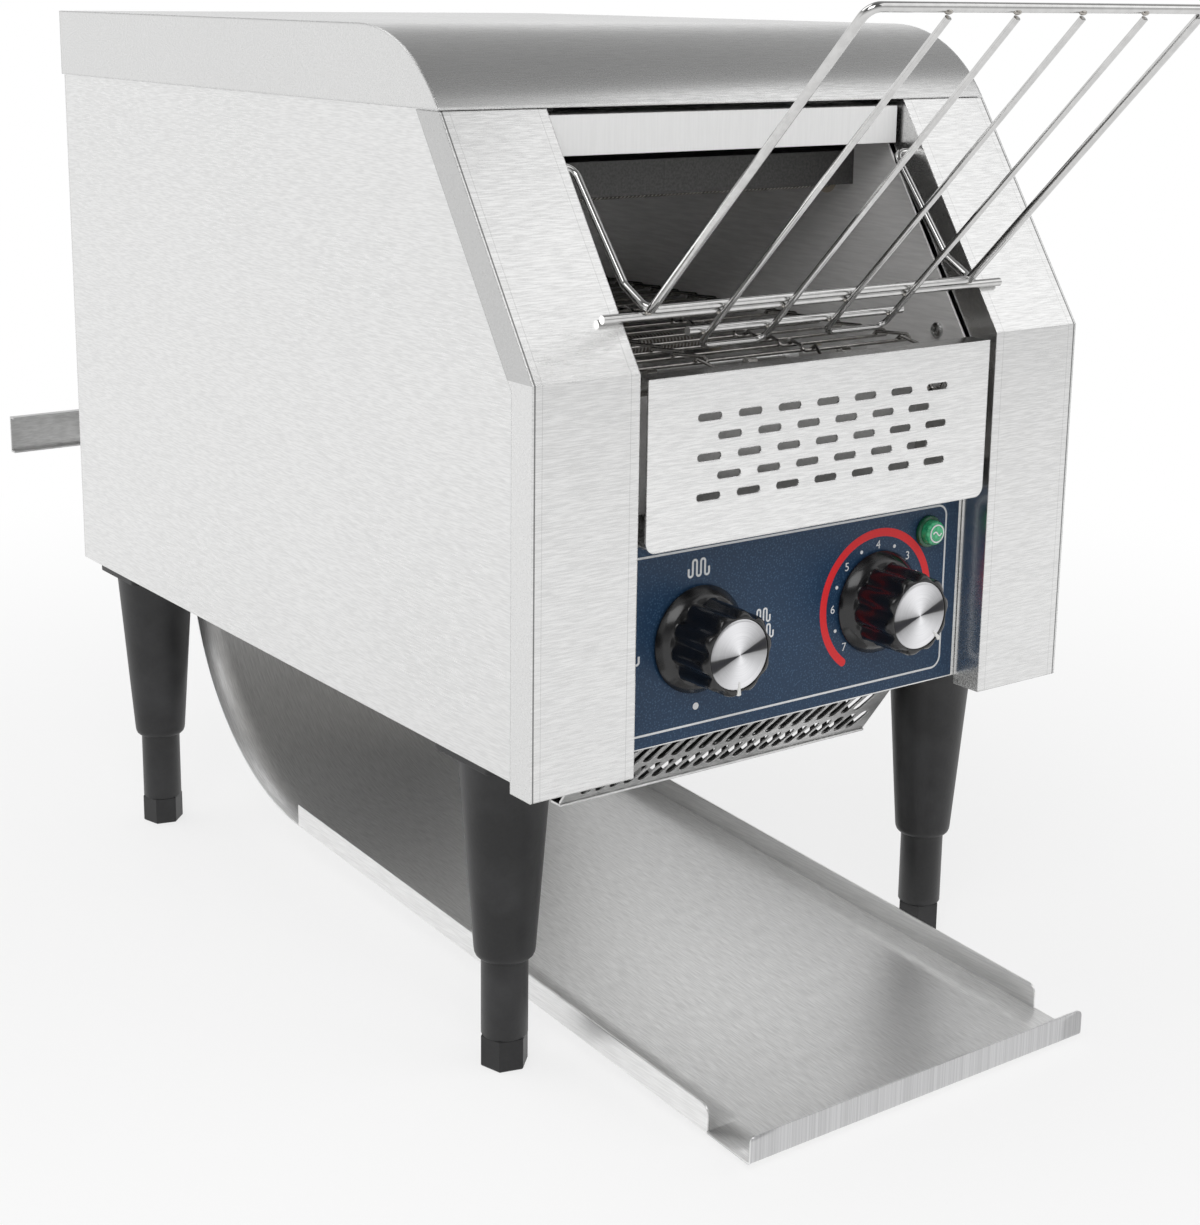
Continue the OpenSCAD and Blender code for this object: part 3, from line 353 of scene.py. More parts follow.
side_steel = bare_metal("side panel steel", (900, 150, 2100), 0.84, 0.73, 0.34, 0.12)
front_steel = bare_metal("front sheet steel", (130, 2100, 2100), 0.81, 0.70, 0.28, 0.12)
vent_steel = bare_metal("vent sheet steel", (130, 2100, 2100), 0.87, 0.75, 0.28, 0.12, edge=0.0009)
# painted shade: the cover's steel is darker than the side panels' same sheet, for the darker look of its top
cover_steel_painted_darker = bare_metal("cover steel painted darker", (120, 2000, 2000), 0.76, 0.66, 0.30, 0.12, edge=0.0016)
column_steel = bare_metal("column steel", (130, 2100, 2100), 0.81, 0.70, 0.28, 0.12, edge=0.0008)
dress(side_steel, "side_panel_left", "side_panel_right")
dress(front_steel, "rear_panel", "control_panel")
dress(vent_steel, "vent_panel")
dress(cover_steel_painted_darker, "top_cover")
dress(column_steel, "front_column_left", "front_column_right")

# painted shade on each column: a dark line in the open seam beside its outer bend, where the gap lies in
# shadow; faint darker lines along its two folds, and the slanted part of its lap on the side made darker
column_bend = 160
nodes, links = column_steel.node_tree.nodes, column_steel.node_tree.links
split = nodes.new("ShaderNodeSeparateXYZ")
links.new(nodes["Texture Coordinate"].outputs["Object"], split.inputs[0])
aside = maths(nodes, links, "ABSOLUTE", split.outputs["X"])


def band(value, low, high):
    """1 where a value lies between low and high, 0 elsewhere."""
    return maths(nodes, links, "MULTIPLY", maths(nodes, links, "GREATER_THAN", value, low),
                 maths(nodes, links, "LESS_THAN", value, high))


# where each begins and ends, in metres from the toaster's middle
outer_fold, inner_fold = (0.1393, 0.1397), (0.0990, 0.0994)
open_seam, side_lap = (0.1425, 0.1432), (0.1438, 0.2)
fold_shade, seam_shade, lap_shade = 0.14, 0.7, 0.26
folds = maths(nodes, links, "ADD", band(aside, *outer_fold), band(aside, *inner_fold))
slanted_lap = maths(nodes, links, "MULTIPLY", band(aside, *side_lap),
                    band(split.outputs["Z"], at(0, 0, column_bend).z, 1.0))
shade = maths(nodes, links, "MAXIMUM", maths(nodes, links, "MULTIPLY", folds, fold_shade),
              maths(nodes, links, "MULTIPLY", band(aside, *open_seam), seam_shade))
shade = maths(nodes, links, "MAXIMUM", shade, maths(nodes, links, "MULTIPLY", slanted_lap, lap_shade))
marked(column_steel, shade, (0.01, 0.01, 0.01), "MIX")

zinc_steel = bare_metal("bright plated sheet", (160, 700, 700), 0.80, 0.66, 0.38, 0.2)
dress(zinc_steel, "belly_grille")
base_steel = bare_metal("base plate steel", (900, 160, 900), 0.95, 0.88, 0.38, 0.12)
dress(base_steel, "base_plate", "belt_rails")

# painted shade: the base plate is darkened towards the rear, over the slide's bend, where the slide below
# shades it
nodes, links = base_steel.node_tree.nodes, base_steel.node_tree.links
split = nodes.new("ShaderNodeSeparateXYZ")
links.new(nodes["Texture Coordinate"].outputs["Object"], split.inputs[0])
rear_shade_from, rear_shade_to = at(0, 255, 0).y, at(0, 330, 0).y
painted_rear_shade = smooth_step(nodes, links, split.outputs["Y"], rear_shade_from, rear_shade_to)
marked(base_steel, painted_rear_shade, (0.36, 0.35, 0.335))

# ---------------------------------------------------------------- toasting chamber
# Inner walls, header and reflectors are stainless sheet that heat has dulled and browned a little; the upper
# reflector is painted near black as painted shade for the dark back of the chamber. Seven quartz tubes with a
# coiled wire inside sit in ceramic ends in the walls.

header_steel = bare_metal("header strip steel", (1300, 1300, 60), 0.96, 0.92, 0.40, 0.05, metallic=0.1)
dress(header_steel, "header_strip")
chamber_steel = bare_metal("heat dulled steel", (900, 70, 900), 0.92, 0.82, 0.42, 0.12, 0.4,
                           tint=(1, 0.99, 0.98), metallic=0.3)
dress(chamber_steel, "inner_wall_left", "inner_wall_right", "lower_reflector", "vent_shield",
      "compartment_shield")
# painted shade: the upper reflector's steel is given a near-black colour for the shade at the back of the
# chamber
reflector_painted_dark = bare_metal("reflector steel painted dark", (900, 70, 900), 0.13, 0.10, 0.55, 0.12, 0.4,
                             tint=(1, 0.99, 0.975))
dress(reflector_painted_dark, "upper_reflector")

quartz, nodes, links, shader = new_material("milky quartz")
shader.inputs["Transmission Weight"].default_value = 0.35
shader.inputs["IOR"].default_value = 1.46
place = nodes.new("ShaderNodeTexCoord")
coil = nodes.new("ShaderNodeTexWave")
coil.wave_type, coil.bands_direction = "BANDS", "X"
coil.inputs["Scale"].default_value = 150.0
coil.inputs["Distortion"].default_value = 0.4
links.new(place.outputs["Object"], coil.inputs["Vector"])
wound = ramp(nodes, links, coil.outputs["Fac"], (0.45, (0.20, 0.17, 0.15)), (0.75, (0.86, 0.84, 0.80)))
links.new(wound, shader.inputs["Base Color"])
cloudy = nodes.new("ShaderNodeTexNoise")
cloudy.inputs["Scale"].default_value = 60.0
links.new(place.outputs["Object"], cloudy.inputs["Vector"])
links.new(maths(nodes, links, "MULTIPLY_ADD", cloudy.outputs["Fac"], 0.2, 0.18), shader.inputs["Roughness"])
dress(quartz, "upper_elements", "lower_elements")

moulded_skin, given, made = shader_group("moulded skin", [
    ("Color", "NodeSocketColor", (0.02, 0.02, 0.02, 1)), ("Worn", "NodeSocketColor", (0.06, 0.06, 0.06, 1)),
    ("Roughness", "NodeSocketFloat", 0.45), ("Grit", "NodeSocketFloat", 2500.0),
    ("Grit Depth", "NodeSocketFloat", 0.25), ("Edge Radius", "NodeSocketFloat", 0.0004)], surface_outs)
nodes, links = moulded_skin.nodes, moulded_skin.links
place = nodes.new("ShaderNodeTexCoord")
grit = nodes.new("ShaderNodeTexNoise")
grit.inputs["Detail"].default_value = 1.5
links.new(place.outputs["Object"], grit.inputs["Vector"])
links.new(given.outputs["Grit"], grit.inputs["Scale"])
dust = nodes.new("ShaderNodeTexNoise")
dust.inputs["Scale"].default_value = 35.0
dust.inputs["Detail"].default_value = 4.0
links.new(place.outputs["Object"], dust.inputs["Vector"])
rubbed = nodes.new("ShaderNodeMapRange")
rubbed.inputs["From Min"].default_value, rubbed.inputs["From Max"].default_value = 0.42, 0.80
links.new(dust.outputs["Fac"], rubbed.inputs["Value"])
worn_high = maths(nodes, links, "MULTIPLY_ADD", grit.outputs["Fac"], 0.22, rubbed.outputs[0])
colour = blended(nodes, links, worn_high, given.outputs["Color"], given.outputs["Worn"])
links.new(colour, made.inputs["Color"])
rough = maths(nodes, links, "MULTIPLY_ADD", rubbed.outputs[0], 0.10, given.outputs["Roughness"])
links.new(rough, made.inputs["Roughness"])
normal = relief_and_edges(nodes, links, given, grit.outputs["Fac"], "Grit Depth", 0.00006)
links.new(normal, made.inputs["Normal"])


def moulded(name, colour, worn, roughness=0.45, grit=2500.0, depth=0.25, edge=0.0004, coat=0.0):
    """Moulded plastic, ceramic or paint with a fine grain and slightly rubbed high places."""
    material, nodes, links, shader = surfaced(name, moulded_skin, (
        ("Color", (*colour, 1)), ("Worn", (*worn, 1)), ("Roughness", roughness),
        ("Grit", grit), ("Grit Depth", depth), ("Edge Radius", edge)))
    shader.inputs["Coat Weight"].default_value = coat
    shader.inputs["Coat Roughness"].default_value = 0.08
    return material


ceramic = moulded("white ceramic", (0.78, 0.74, 0.66), (0.60, 0.52, 0.42), 0.5, 1800.0, 0.4)
dress(ceramic, "element_caps")

# ---------------------------------------------------------------- wire belt
# Bent wires of 1.6 mm hook into each other and make the endless belt. Each wire lies on two
# neighbouring lines in turn and steps from one to the other with a raised knuckle.


def geometry_tree(name, inputs):
    """A Geometry Nodes tree with a geometry in and out and the named sizes between them."""
    tree = bpy.data.node_groups.new(name, "GeometryNodeTree")
    tree.interface.new_socket(name="Geometry", in_out="INPUT", socket_type="NodeSocketGeometry")
    for label, kind, value in inputs:
        socket = tree.interface.new_socket(name=label, in_out="INPUT", socket_type=kind)
        if value is not None:
            socket.default_value = value
    tree.interface.new_socket(name="Geometry", in_out="OUTPUT", socket_type="NodeSocketGeometry")
    return tree, tree.nodes, tree.links, tree.nodes.new("NodeGroupInput"), tree.nodes.new("NodeGroupOutput")


def run_tree(piece, tree, **sizes):
    """Runs a tree on a piece, keeps the result as its plain mesh and takes the modifier off."""
    modifier = piece.modifiers.new(tree.name, "NODES")
    modifier.node_group = tree
    for item in tree.interface.items_tree:
        if item.item_type == "SOCKET" and item.in_out == "INPUT" and item.name.replace(" ", "_") in sizes:
            modifier[item.identifier] = sizes[item.name.replace(" ", "_")]
    bpy.context.view_layer.update()
    graph = bpy.context.evaluated_depsgraph_get()
    result = bpy.data.meshes.new_from_object(piece.evaluated_get(graph), depsgraph=graph)
    piece.modifiers.clear()
    piece.data = result
    return piece


def bent_line(nodes, links, given, steps):
    """The wire's middle line with its corners bent to Bend Radius."""
    curve = nodes.new("GeometryNodeMeshToCurve")
    links.new(given.outputs["Geometry"], curve.inputs[0])
    fillet = nodes.new("GeometryNodeFilletCurve")
    fillet.mode = "POLY"
    fillet.inputs["Count"].default_value = steps
    fillet.inputs["Limit Radius"].default_value = True
    links.new(curve.outputs[0], fillet.inputs["Curve"])
    links.new(given.outputs["Bend Radius"], fillet.inputs["Radius"])
    return fillet.outputs[0]


def drawn_wire(nodes, links, given, curve):
    """A round section of Wire Diameter along a curve."""
    section = nodes.new("GeometryNodeCurvePrimitiveCircle")
    links.new(given.outputs["Sides"], section.inputs["Resolution"])
    links.new(maths(nodes, links, "DIVIDE", given.outputs["Wire Diameter"], 2.0), section.inputs["Radius"])
    skin = nodes.new("GeometryNodeCurveToMesh")
    skin.inputs["Fill Caps"].default_value = True
    links.new(curve, skin.inputs["Curve"])
    links.new(section.outputs[0], skin.inputs["Profile Curve"])
    return skin.outputs[0]


def end_tree(nodes, links, given, made, geometry):
    """Ends a tree: instances made real, and the Material set."""
    real = nodes.new("GeometryNodeRealizeInstances")
    links.new(geometry, real.inputs[0])
    coated = nodes.new("GeometryNodeSetMaterial")
    links.new(real.outputs[0], coated.inputs["Geometry"])
    links.new(given.outputs["Material"], coated.inputs["Material"])
    links.new(coated.outputs[0], made.inputs[0])


belt_pitch_asked, belt_radius, belt_run, belt_half, belt_wire = 15.0, 21.0, 276.0, 88.0, 1.6
belt_z, front_shaft_y = 152, 46
belt_length = 2 * belt_run + 2 * math.pi * belt_radius
belt_count = round(belt_length / belt_pitch_asked)
belt_pitch = belt_length / belt_count
front_shaft = at(0, front_shaft_y, belt_z - belt_radius)

belt_tree, nodes, links, given, made = geometry_tree("wire belt", [
    ("Wire Diameter", "NodeSocketFloat", belt_wire / 1000), ("Bend Radius", "NodeSocketFloat", 0.0009),
    ("Sides", "NodeSocketInt", 8), ("Wires", "NodeSocketInt", belt_count),
    ("Pitch", "NodeSocketFloat", belt_pitch / 1000), ("Loop Radius", "NodeSocketFloat", belt_radius / 1000),
    ("Run", "NodeSocketFloat", belt_run / 1000), ("Front Shaft", "NodeSocketVector", (0, 0, 0)),
    ("Material", "NodeSocketMaterial", None)])
copies = nodes.new("GeometryNodeDuplicateElements")
copies.domain = "SPLINE"
links.new(bent_line(nodes, links, given, 2), copies.inputs["Geometry"])
links.new(given.outputs["Wires"], copies.inputs["Amount"])
here = nodes.new("GeometryNodeInputPosition")
flat = nodes.new("ShaderNodeSeparateXYZ")
links.new(here.outputs[0], flat.inputs[0])


def calc(operation, *values):
    """A Math node in the belt's tree."""
    return maths(nodes, links, operation, *values)


def between(value, top):
    """A value kept from 0 to top."""
    return calc("MAXIMUM", calc("MINIMUM", value, top), 0.0)


run, radius = given.outputs["Run"], given.outputs["Loop Radius"]
half_turn = calc("MULTIPLY", radius, math.pi)
whole = calc("ADD", calc("MULTIPLY", run, 2.0), calc("MULTIPLY", half_turn, 2.0))
wire_place = calc("MULTIPLY", copies.outputs["Duplicate Index"], given.outputs["Pitch"])
along = calc("ADD", flat.outputs["Y"], wire_place)
along = calc("FLOORED_MODULO", along, whole)
past_rear = calc("SUBTRACT", along, run)
past_under = calc("SUBTRACT", calc("SUBTRACT", past_rear, half_turn), run)
turn = calc("ADD", between(calc("DIVIDE", past_rear, radius), math.pi),
            between(calc("DIVIDE", past_under, radius), math.pi))
axis = calc("SUBTRACT", between(along, run), between(calc("SUBTRACT", past_rear, half_turn), run))
outward = calc("ADD", radius, flat.outputs["Z"])
looped = nodes.new("ShaderNodeCombineXYZ")
links.new(flat.outputs["X"], looped.inputs["X"])
links.new(calc("ADD", axis, calc("MULTIPLY", outward, calc("SINE", turn))), looped.inputs["Y"])
links.new(calc("MULTIPLY", outward, calc("COSINE", turn)), looped.inputs["Z"])
laid = nodes.new("GeometryNodeSetPosition")
links.new(copies.outputs["Geometry"], laid.inputs["Geometry"])
links.new(looped.outputs[0], laid.inputs["Position"])
links.new(given.outputs["Front Shaft"], laid.inputs["Offset"])
end_tree(nodes, links, given, made, drawn_wire(nodes, links, given, laid.outputs[0]))

gap, lift, lean = 0.62 * belt_wire, 1.15 * belt_wire, 3.0


def knuckle(x, a, b):
    """A step from a wire's own line over to the next one, in millimetres across, along and up."""
    return [(x + lean * a, -gap, 0), (x + lean * a, gap, lift),
            (x + lean * b, belt_pitch - gap, lift), (x + lean * b, belt_pitch + gap, 0)]


strand = (knuckle(lean - belt_half, -1, 1)[::-1] + knuckle(-belt_half / 3, 1, -1)
          + knuckle(belt_half / 3, -1, 1)[::-1] + knuckle(belt_half - lean, 1, -1))
belt_steel = bare_metal("belt wire", (400, 900, 900), 0.48, 0.30, 0.22, 0.2, 0.9, 0.0001, (1, 0.97, 0.93))
strand_edges = [(i, i + 1) for i in range(len(strand) - 1)]
strand_mesh = mesh_of("belt strand", [Vector(p) / 1000 for p in strand], [], strand_edges)
belt = piece_of("wire_belt_strands", strand_mesh, None)
run_tree(belt, belt_tree, Front_Shaft=front_shaft, Material=belt_steel)
belt.data.shade_smooth()
belt.data.set_sharp_from_angle(angle=math.radians(60))
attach(belt, "casing")
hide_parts("wire_belt")
dress(belt_steel, "front_belt_wheels", "rear_belt_wheels")

# ---------------------------------------------------------------- shafts and drive
# Turned steel shafts run in bronze bushes in the inner walls. A geared motor under the
# shelf drives the front one through a short oiled roller chain.

shaft_steel = bare_metal("turned steel", (900, 300, 300), 0.62, 0.50, 0.24, 0.15)
dress(shaft_steel, "front_shaft", "rear_shaft", "heat_spindle", "speed_spindle", "casing_screws",
      "wall_screws")
chain_steel = bare_metal("oiled chain steel", (600, 600, 600), 0.26, 0.14, 0.34, 0.4, 0.9, 0.0002,
                         (1, 0.97, 0.93))
dress(chain_steel, "chain_wheel", "motor_wheel", "drive_chain")
bush_bronze = bare_metal("sintered bronze", (900, 900, 900), 0.62, 0.42, 0.38, 0.4, 0.6, 0.0002,
                         (1, 0.70, 0.36))
dress(bush_bronze, "shaft_bearings")
motor_paint = moulded("motor casting grey", (0.16, 0.17, 0.18), (0.26, 0.27, 0.28), 0.48, 900.0, 0.5)
dress(motor_paint, "gear_motor")

# ---------------------------------------------------------------- control panel
# A dark blue printed foil is stuck on the steel front of the control box. White and red
# screen ink on it shows the heater symbols, a frame line and the speed dial's numbers.

panel_y = 15.3
heat_x, speed_x, knob_z = -52.5, 45.5, 46.0
lamp_x, lamp_z = 74.5, 73.0

printed_foil, given, made = shader_group("printed foil", [
    ("Color", "NodeSocketColor", (0.013, 0.034, 0.085, 1)),
    ("Fleck", "NodeSocketColor", (0.03, 0.065, 0.13, 1)),
    ("Roughness", "NodeSocketFloat", 0.34)], surface_outs)
nodes, links = printed_foil.nodes, printed_foil.links
place = nodes.new("ShaderNodeTexCoord")
fleck = nodes.new("ShaderNodeTexVoronoi")
fleck.inputs["Scale"].default_value = 950.0
links.new(place.outputs["Object"], fleck.inputs["Vector"])
peel = nodes.new("ShaderNodeTexNoise")
peel.inputs["Scale"].default_value = 900.0
peel.inputs["Detail"].default_value = 2.0
links.new(place.outputs["Object"], peel.inputs["Vector"])
specks = nodes.new("ShaderNodeMapRange")
specks.inputs["From Min"].default_value, specks.inputs["From Max"].default_value = 0.45, 0.10
links.new(fleck.outputs["Distance"], specks.inputs["Value"])
flecked = maths(nodes, links, "MULTIPLY", specks.outputs[0], peel.outputs["Fac"])
colour = blended(nodes, links, flecked, given.outputs["Color"], given.outputs["Fleck"])
links.new(colour, made.inputs["Color"])
peeled = maths(nodes, links, "MULTIPLY_ADD", peel.outputs["Fac"], 0.12, given.outputs["Roughness"])
links.new(peeled, made.inputs["Roughness"])
relief = nodes.new("ShaderNodeBump")
relief.inputs["Strength"].default_value = 0.25
relief.inputs["Distance"].default_value = 0.00004
links.new(peel.outputs["Fac"], relief.inputs["Height"])
links.new(relief.outputs[0], made.inputs["Normal"])


def printed(name, colour, fleck, roughness=0.34):
    """Printed foil or ink with fine flecks of a second colour."""
    material, nodes, links, shader = surfaced(name, printed_foil, (
        ("Color", (*colour, 1)), ("Fleck", (*fleck, 1)), ("Roughness", roughness)))
    shader.inputs["Specular IOR Level"].default_value = 0.32
    return material


def slab(name, outline, y0, y1, material, holes=()):
    """A plate in the panel's plane from y0 back to y1; outline and holes are (x, z) loops."""
    form = bmesh.new()
    edges = []
    for loop in (outline, *holes):
        corners = [form.verts.new(at(x, y1, z)) for x, z in loop]
        edges += [form.edges.new((a, b)) for a, b in zip(corners, corners[1:] + corners[:1])]
    faces = bmesh.ops.triangle_fill(form, edges=edges, use_beauty=True)["geom"]
    faces = [f for f in faces if isinstance(f, bmesh.types.BMFace)]
    front = bmesh.ops.extrude_face_region(form, geom=faces)["geom"]
    front = [v for v in front if isinstance(v, bmesh.types.BMVert)]
    bmesh.ops.translate(form, verts=front, vec=(0, (y0 - y1) / 1000, 0))
    bmesh.ops.recalc_face_normals(form, faces=form.faces)
    mesh = bpy.data.meshes.new(name)
    form.to_mesh(mesh)
    form.free()
    piece = piece_of(name, mesh, material, 40)
    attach(piece, "casing")
    return piece


def rounded_box(x0, x1, z0, z1, r, steps=8):
    """A rectangle's loop with corners of radius r."""
    loop = []
    for cx, cz, start in ((x1 - r, z1 - r, 0), (x0 + r, z1 - r, 90),
                          (x0 + r, z0 + r, 180), (x1 - r, z0 + r, 270)):
        for k in range(steps + 1):
            a = math.radians(start + 90 * k / steps)
            loop.append((cx + r * math.cos(a), cz + r * math.sin(a)))
    return loop


def ring(cx, cz, r, count=40):
    """A circle's loop."""
    turns = [2 * math.pi * k / count for k in range(count)]
    return [(cx + r * math.cos(a), cz + r * math.sin(a)) for a in turns]


foil_blue = printed("dark blue foil", (0.014, 0.042, 0.092), (0.075, 0.15, 0.26))
foil_y = panel_y - 0.15
slab("panel_foil", rounded_box(-94.3, 93.0, 4.6, 89.0, 0.6), foil_y, panel_y, foil_blue,
     holes=[ring(heat_x, knob_z, 6), ring(speed_x, knob_z, 6), ring(lamp_x, lamp_z, 6)])

white_ink = printed("white screen ink", (0.80, 0.81, 0.82), (0.70, 0.71, 0.73), 0.42)
red_ink = printed("red screen ink", (0.80, 0.030, 0.036), (0.88, 0.042, 0.050), 0.40)
ink_y = panel_y - 0.21


def inked(name, outline, ink=white_ink, holes=()):
    """A patch of screen ink on the foil."""
    slab(name, outline, ink_y, foil_y, ink, holes)


def both_sides(points, width, closed=False):
    """The left and right side of a stroke of the given width along points."""
    count = len(points)
    left, right = [], []
    for i, (x, z) in enumerate(points):
        before = points[i - 1] if (closed or i) else points[i]
        after = points[(i + 1) % count] if (closed or i < count - 1) else points[i]
        dx, dz = after[0] - before[0], after[1] - before[1]
        size = math.hypot(dx, dz) or 1.0
        nx, nz = -dz / size * width / 2, dx / size * width / 2
        left.append((x + nx, z + nz))
        right.append((x - nx, z - nz))
    return left, right


def stroke(points, width):
    """The outline of a stroke with square ends."""
    left, right = both_sides(points, width)
    return left + right[::-1]


inner, outer = both_sides(rounded_box(-92.6, 85.5, 9.9, 83.5, 5.0, 10), 0.9, closed=True)
inked("frame_line", outer, holes=[inner])


def heater_sign(cx, cz, bends, width, height):
    """A snaking heater wire: upright runs joined by half circles, the first one below."""
    r = width / bends / 2
    points = [(-width / 2, 0)]
    for k in range(bends):
        x0 = -width / 2 + 2 * r * k
        up = -1 if k % 2 == 0 else 1
        points += [(x0 + r - r * math.cos(a), up * (height / 2 - r) + up * r * math.sin(a))
                   for a in (math.pi * i / 10 for i in range(11))]
    points.append((width / 2, 0))
    return [(cx + x, cz + z) for x, z in points]


for name, (cx, cz), width, height, line in (("sign_upper_heat", (heat_x, 75.6), 10.4, 6.8, 0.95),
                                            ("sign_lower_heat", (-87.2, 43.5), 10.4, 6.8, 0.95),
                                            ("sign_full_heat_a", (-18.6, 50.0), 8.6, 5.6, 0.8),
                                            ("sign_full_heat_b", (-16.6, 43.0), 8.6, 5.6, 0.8)):
    inked(name, stroke(heater_sign(cx, cz, 5, width, height), line))
inked("off_dot", ring(heat_x, 17.4, 1.5))

# the speed dial: seven numbers with a dot between each two, and a red arc round them
dial_radius, dial_start, dial_step = 24.9, 225, 22.5      # the angles in degrees
for step in range(13):
    angle = dial_start - dial_step * step
    cx = speed_x + dial_radius * math.cos(math.radians(angle))
    cz = knob_z + dial_radius * math.sin(math.radians(angle))
    if step % 2:
        inked("dial_dot_%02d" % step, ring(cx, cz, 0.8, 18))
        continue
    digit = bpy.data.curves.new("dial number", "FONT")
    digit.body, digit.size, digit.extrude = str(7 - step // 2), 0.0052, 0.00003
    digit.align_x, digit.align_y = "CENTER", "CENTER"
    holder = bpy.data.objects.new("dial number", digit)
    bpy.context.scene.collection.objects.link(holder)
    bpy.context.view_layer.update()
    mesh = bpy.data.meshes.new_from_object(holder.evaluated_get(bpy.context.evaluated_depsgraph_get()))
    bpy.data.objects.remove(holder)
    mesh.transform(Matrix.Translation(at(cx, (ink_y + foil_y) / 2, cz)) @ Matrix.Rotation(math.pi / 2, 4, "X"))
    number = piece_of("dial_number_%d" % (7 - step // 2), mesh, white_ink)
    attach(number, "casing")

arc_radius, arc_width = 30.3, 3.6
turns = [math.radians(233 - k * 263 / 90) for k in range(91)]
arc = [(speed_x + arc_radius * math.cos(a), knob_z + arc_radius * math.sin(a)) for a in turns]
left_side, right_side = both_sides(arc, arc_width)
rounded_ends = []
for (x, z), (px, pz) in ((arc[-1], arc[-2]), (arc[0], arc[1])):
    way = math.atan2(z - pz, x - px)
    turns = [way + (math.pi / 2 - math.pi * k / 8) for k in range(1, 8)]
    rounded_ends.append([(x + arc_width / 2 * math.cos(a), z + arc_width / 2 * math.sin(a)) for a in turns])
inked("speed_arc", left_side + rounded_ends[0] + right_side[::-1] + rounded_ends[1], red_ink)

# ---------------------------------------------------------------- knobs and lamp
# Two moulded black knobs with a bevelled skirt, ten flutes and a spun aluminium cap push
# onto flatted spindles. A green neon lamp with a bezel snaps into the panel beside them.


def turned_shape(name, rings, centre, axis, material, sides, flutes=0, smooth=35):
    """A closed shape turned about an axis; rings are (distance along, radius, depth of flutes) in mm."""
    axis = Vector(axis).normalized()
    side = axis.orthogonal().normalized()
    other = axis.cross(side)
    vertices, faces = [], []
    for along, radius, *depth in rings:
        for k in range(sides):
            a = 2 * math.pi * k / sides
            r = radius - sum(depth) * (0.5 - 0.5 * math.cos(flutes * a)) ** 1.4
            place = axis * along + side * (r * math.cos(a)) + other * (r * math.sin(a))
            vertices.append(centre + place / 1000)
    for i in range(len(rings) - 1):
        for k in range(sides):
            a, b = i * sides + k, i * sides + (k + 1) % sides
            faces.append((a, b, b + sides, a + sides))
    for i, order in ((0, -1), (len(rings) - 1, 1)):
        middle = len(vertices)
        vertices.append(centre + axis * rings[i][0] / 1000)
        for k in range(sides):
            a, b = i * sides + k, i * sides + (k + 1) % sides
            faces.append((middle, a, b) if order > 0 else (middle, b, a))
    return piece_of(name, mesh_of(name, vertices, faces), material, smooth)


knob_black = moulded("knob black", (0.003, 0.003, 0.004), (0.006, 0.006, 0.007), 0.20, 1600.0, 0.0, 0.0003,
                     0.3)
knob_black.node_tree.nodes["Principled BSDF"].inputs["Specular IOR Level"].default_value = 0.5
pointer_white = moulded("pointer white", (0.80, 0.80, 0.78), (0.7, 0.7, 0.68), 0.4)
grip = [(0.8, 21.9), (1.0, 22.3), (1.4, 22.5), (1.9, 22.35), (5.3, 19.3), (5.6, 18.9), (5.8, 18.6),
        (5.9, 18.4, 0.3), (6.3, 18.1, 1.6), (7.2, 18.0, 2.1), (15, 17.9, 2.2), (23.6, 17.8, 2.2),
        (25.0, 17.6, 2.1), (26.0, 17.2, 1.8), (26.6, 16.6, 1.2), (27.0, 15.6, 0.4), (27.0, 14.8), (26.8, 14.6),
        (26.1, 14.6)]

cap_metal, nodes, links, shader = new_material("spun aluminium cap")
shader.inputs["Metallic"].default_value = 1.0
shader.inputs["Anisotropic"].default_value = 0.85
rings_way = nodes.new("ShaderNodeTangent")
rings_way.direction_type, rings_way.uv_map = "UV_MAP", "rings"
links.new(rings_way.outputs[0], shader.inputs["Tangent"])
spun_map = nodes.new("ShaderNodeUVMap")
spun_map.uv_map = "rings"
spun_scale = nodes.new("ShaderNodeVectorMath")
spun_scale.operation = "MULTIPLY"
spun_scale.inputs[1].default_value = (3.0, 160.0, 1.0)
links.new(spun_map.outputs[0], spun_scale.inputs[0])
spun = nodes.new("ShaderNodeTexNoise")
spun.inputs["Scale"].default_value = 1.0
spun.inputs["Detail"].default_value = 3.0
links.new(spun_scale.outputs[0], spun.inputs["Vector"])
spun_tone = ramp(nodes, links, spun.outputs["Fac"], (0.35, (0.80, 0.80, 0.82)), (0.65, (0.95, 0.95, 0.97)))

# painted reflection: two dark sectors across from each other, standing in for the dark parts of the room that
# a spun disc reflects
round_it = nodes.new("ShaderNodeSeparateXYZ")
links.new(spun_map.outputs[0], round_it.inputs[0])
sector = maths(nodes, links, "MULTIPLY_ADD", round_it.outputs["X"], 4 * math.pi, -2 * math.radians(12))
sector = maths(nodes, links, "MULTIPLY_ADD", maths(nodes, links, "COSINE", sector), 0.5, 0.5)
reflection_sector_greys = greys((0, 1), (0.45, 0.78), (0.86, 0.55), (0.95, 0.40), (0.975, 0.07))
painted_reflection_sectors = ramp(nodes, links, sector, *reflection_sector_greys, (1, (0.05, 0.05, 0.055)))
painted_reflection_mix = nodes.new("ShaderNodeMix")
painted_reflection_mix.data_type, painted_reflection_mix.blend_type = "RGBA", "MULTIPLY"
painted_reflection_mix.inputs["Factor"].default_value = 1.0
links.new(painted_reflection_sectors, painted_reflection_mix.inputs["B"])
links.new(spun_tone, painted_reflection_mix.inputs["A"])
links.new(painted_reflection_mix.outputs["Result"], shader.inputs["Base Color"])
links.new(maths(nodes, links, "MULTIPLY_ADD", spun.outputs["Fac"], 0.14, 0.24), shader.inputs["Roughness"])


def faces_out(mesh):
    """Turns the faces of a closed mesh outward."""
    form = bmesh.new()
    form.from_mesh(mesh)
    bmesh.ops.recalc_face_normals(form, faces=form.faces)
    form.to_mesh(mesh)
    form.free()


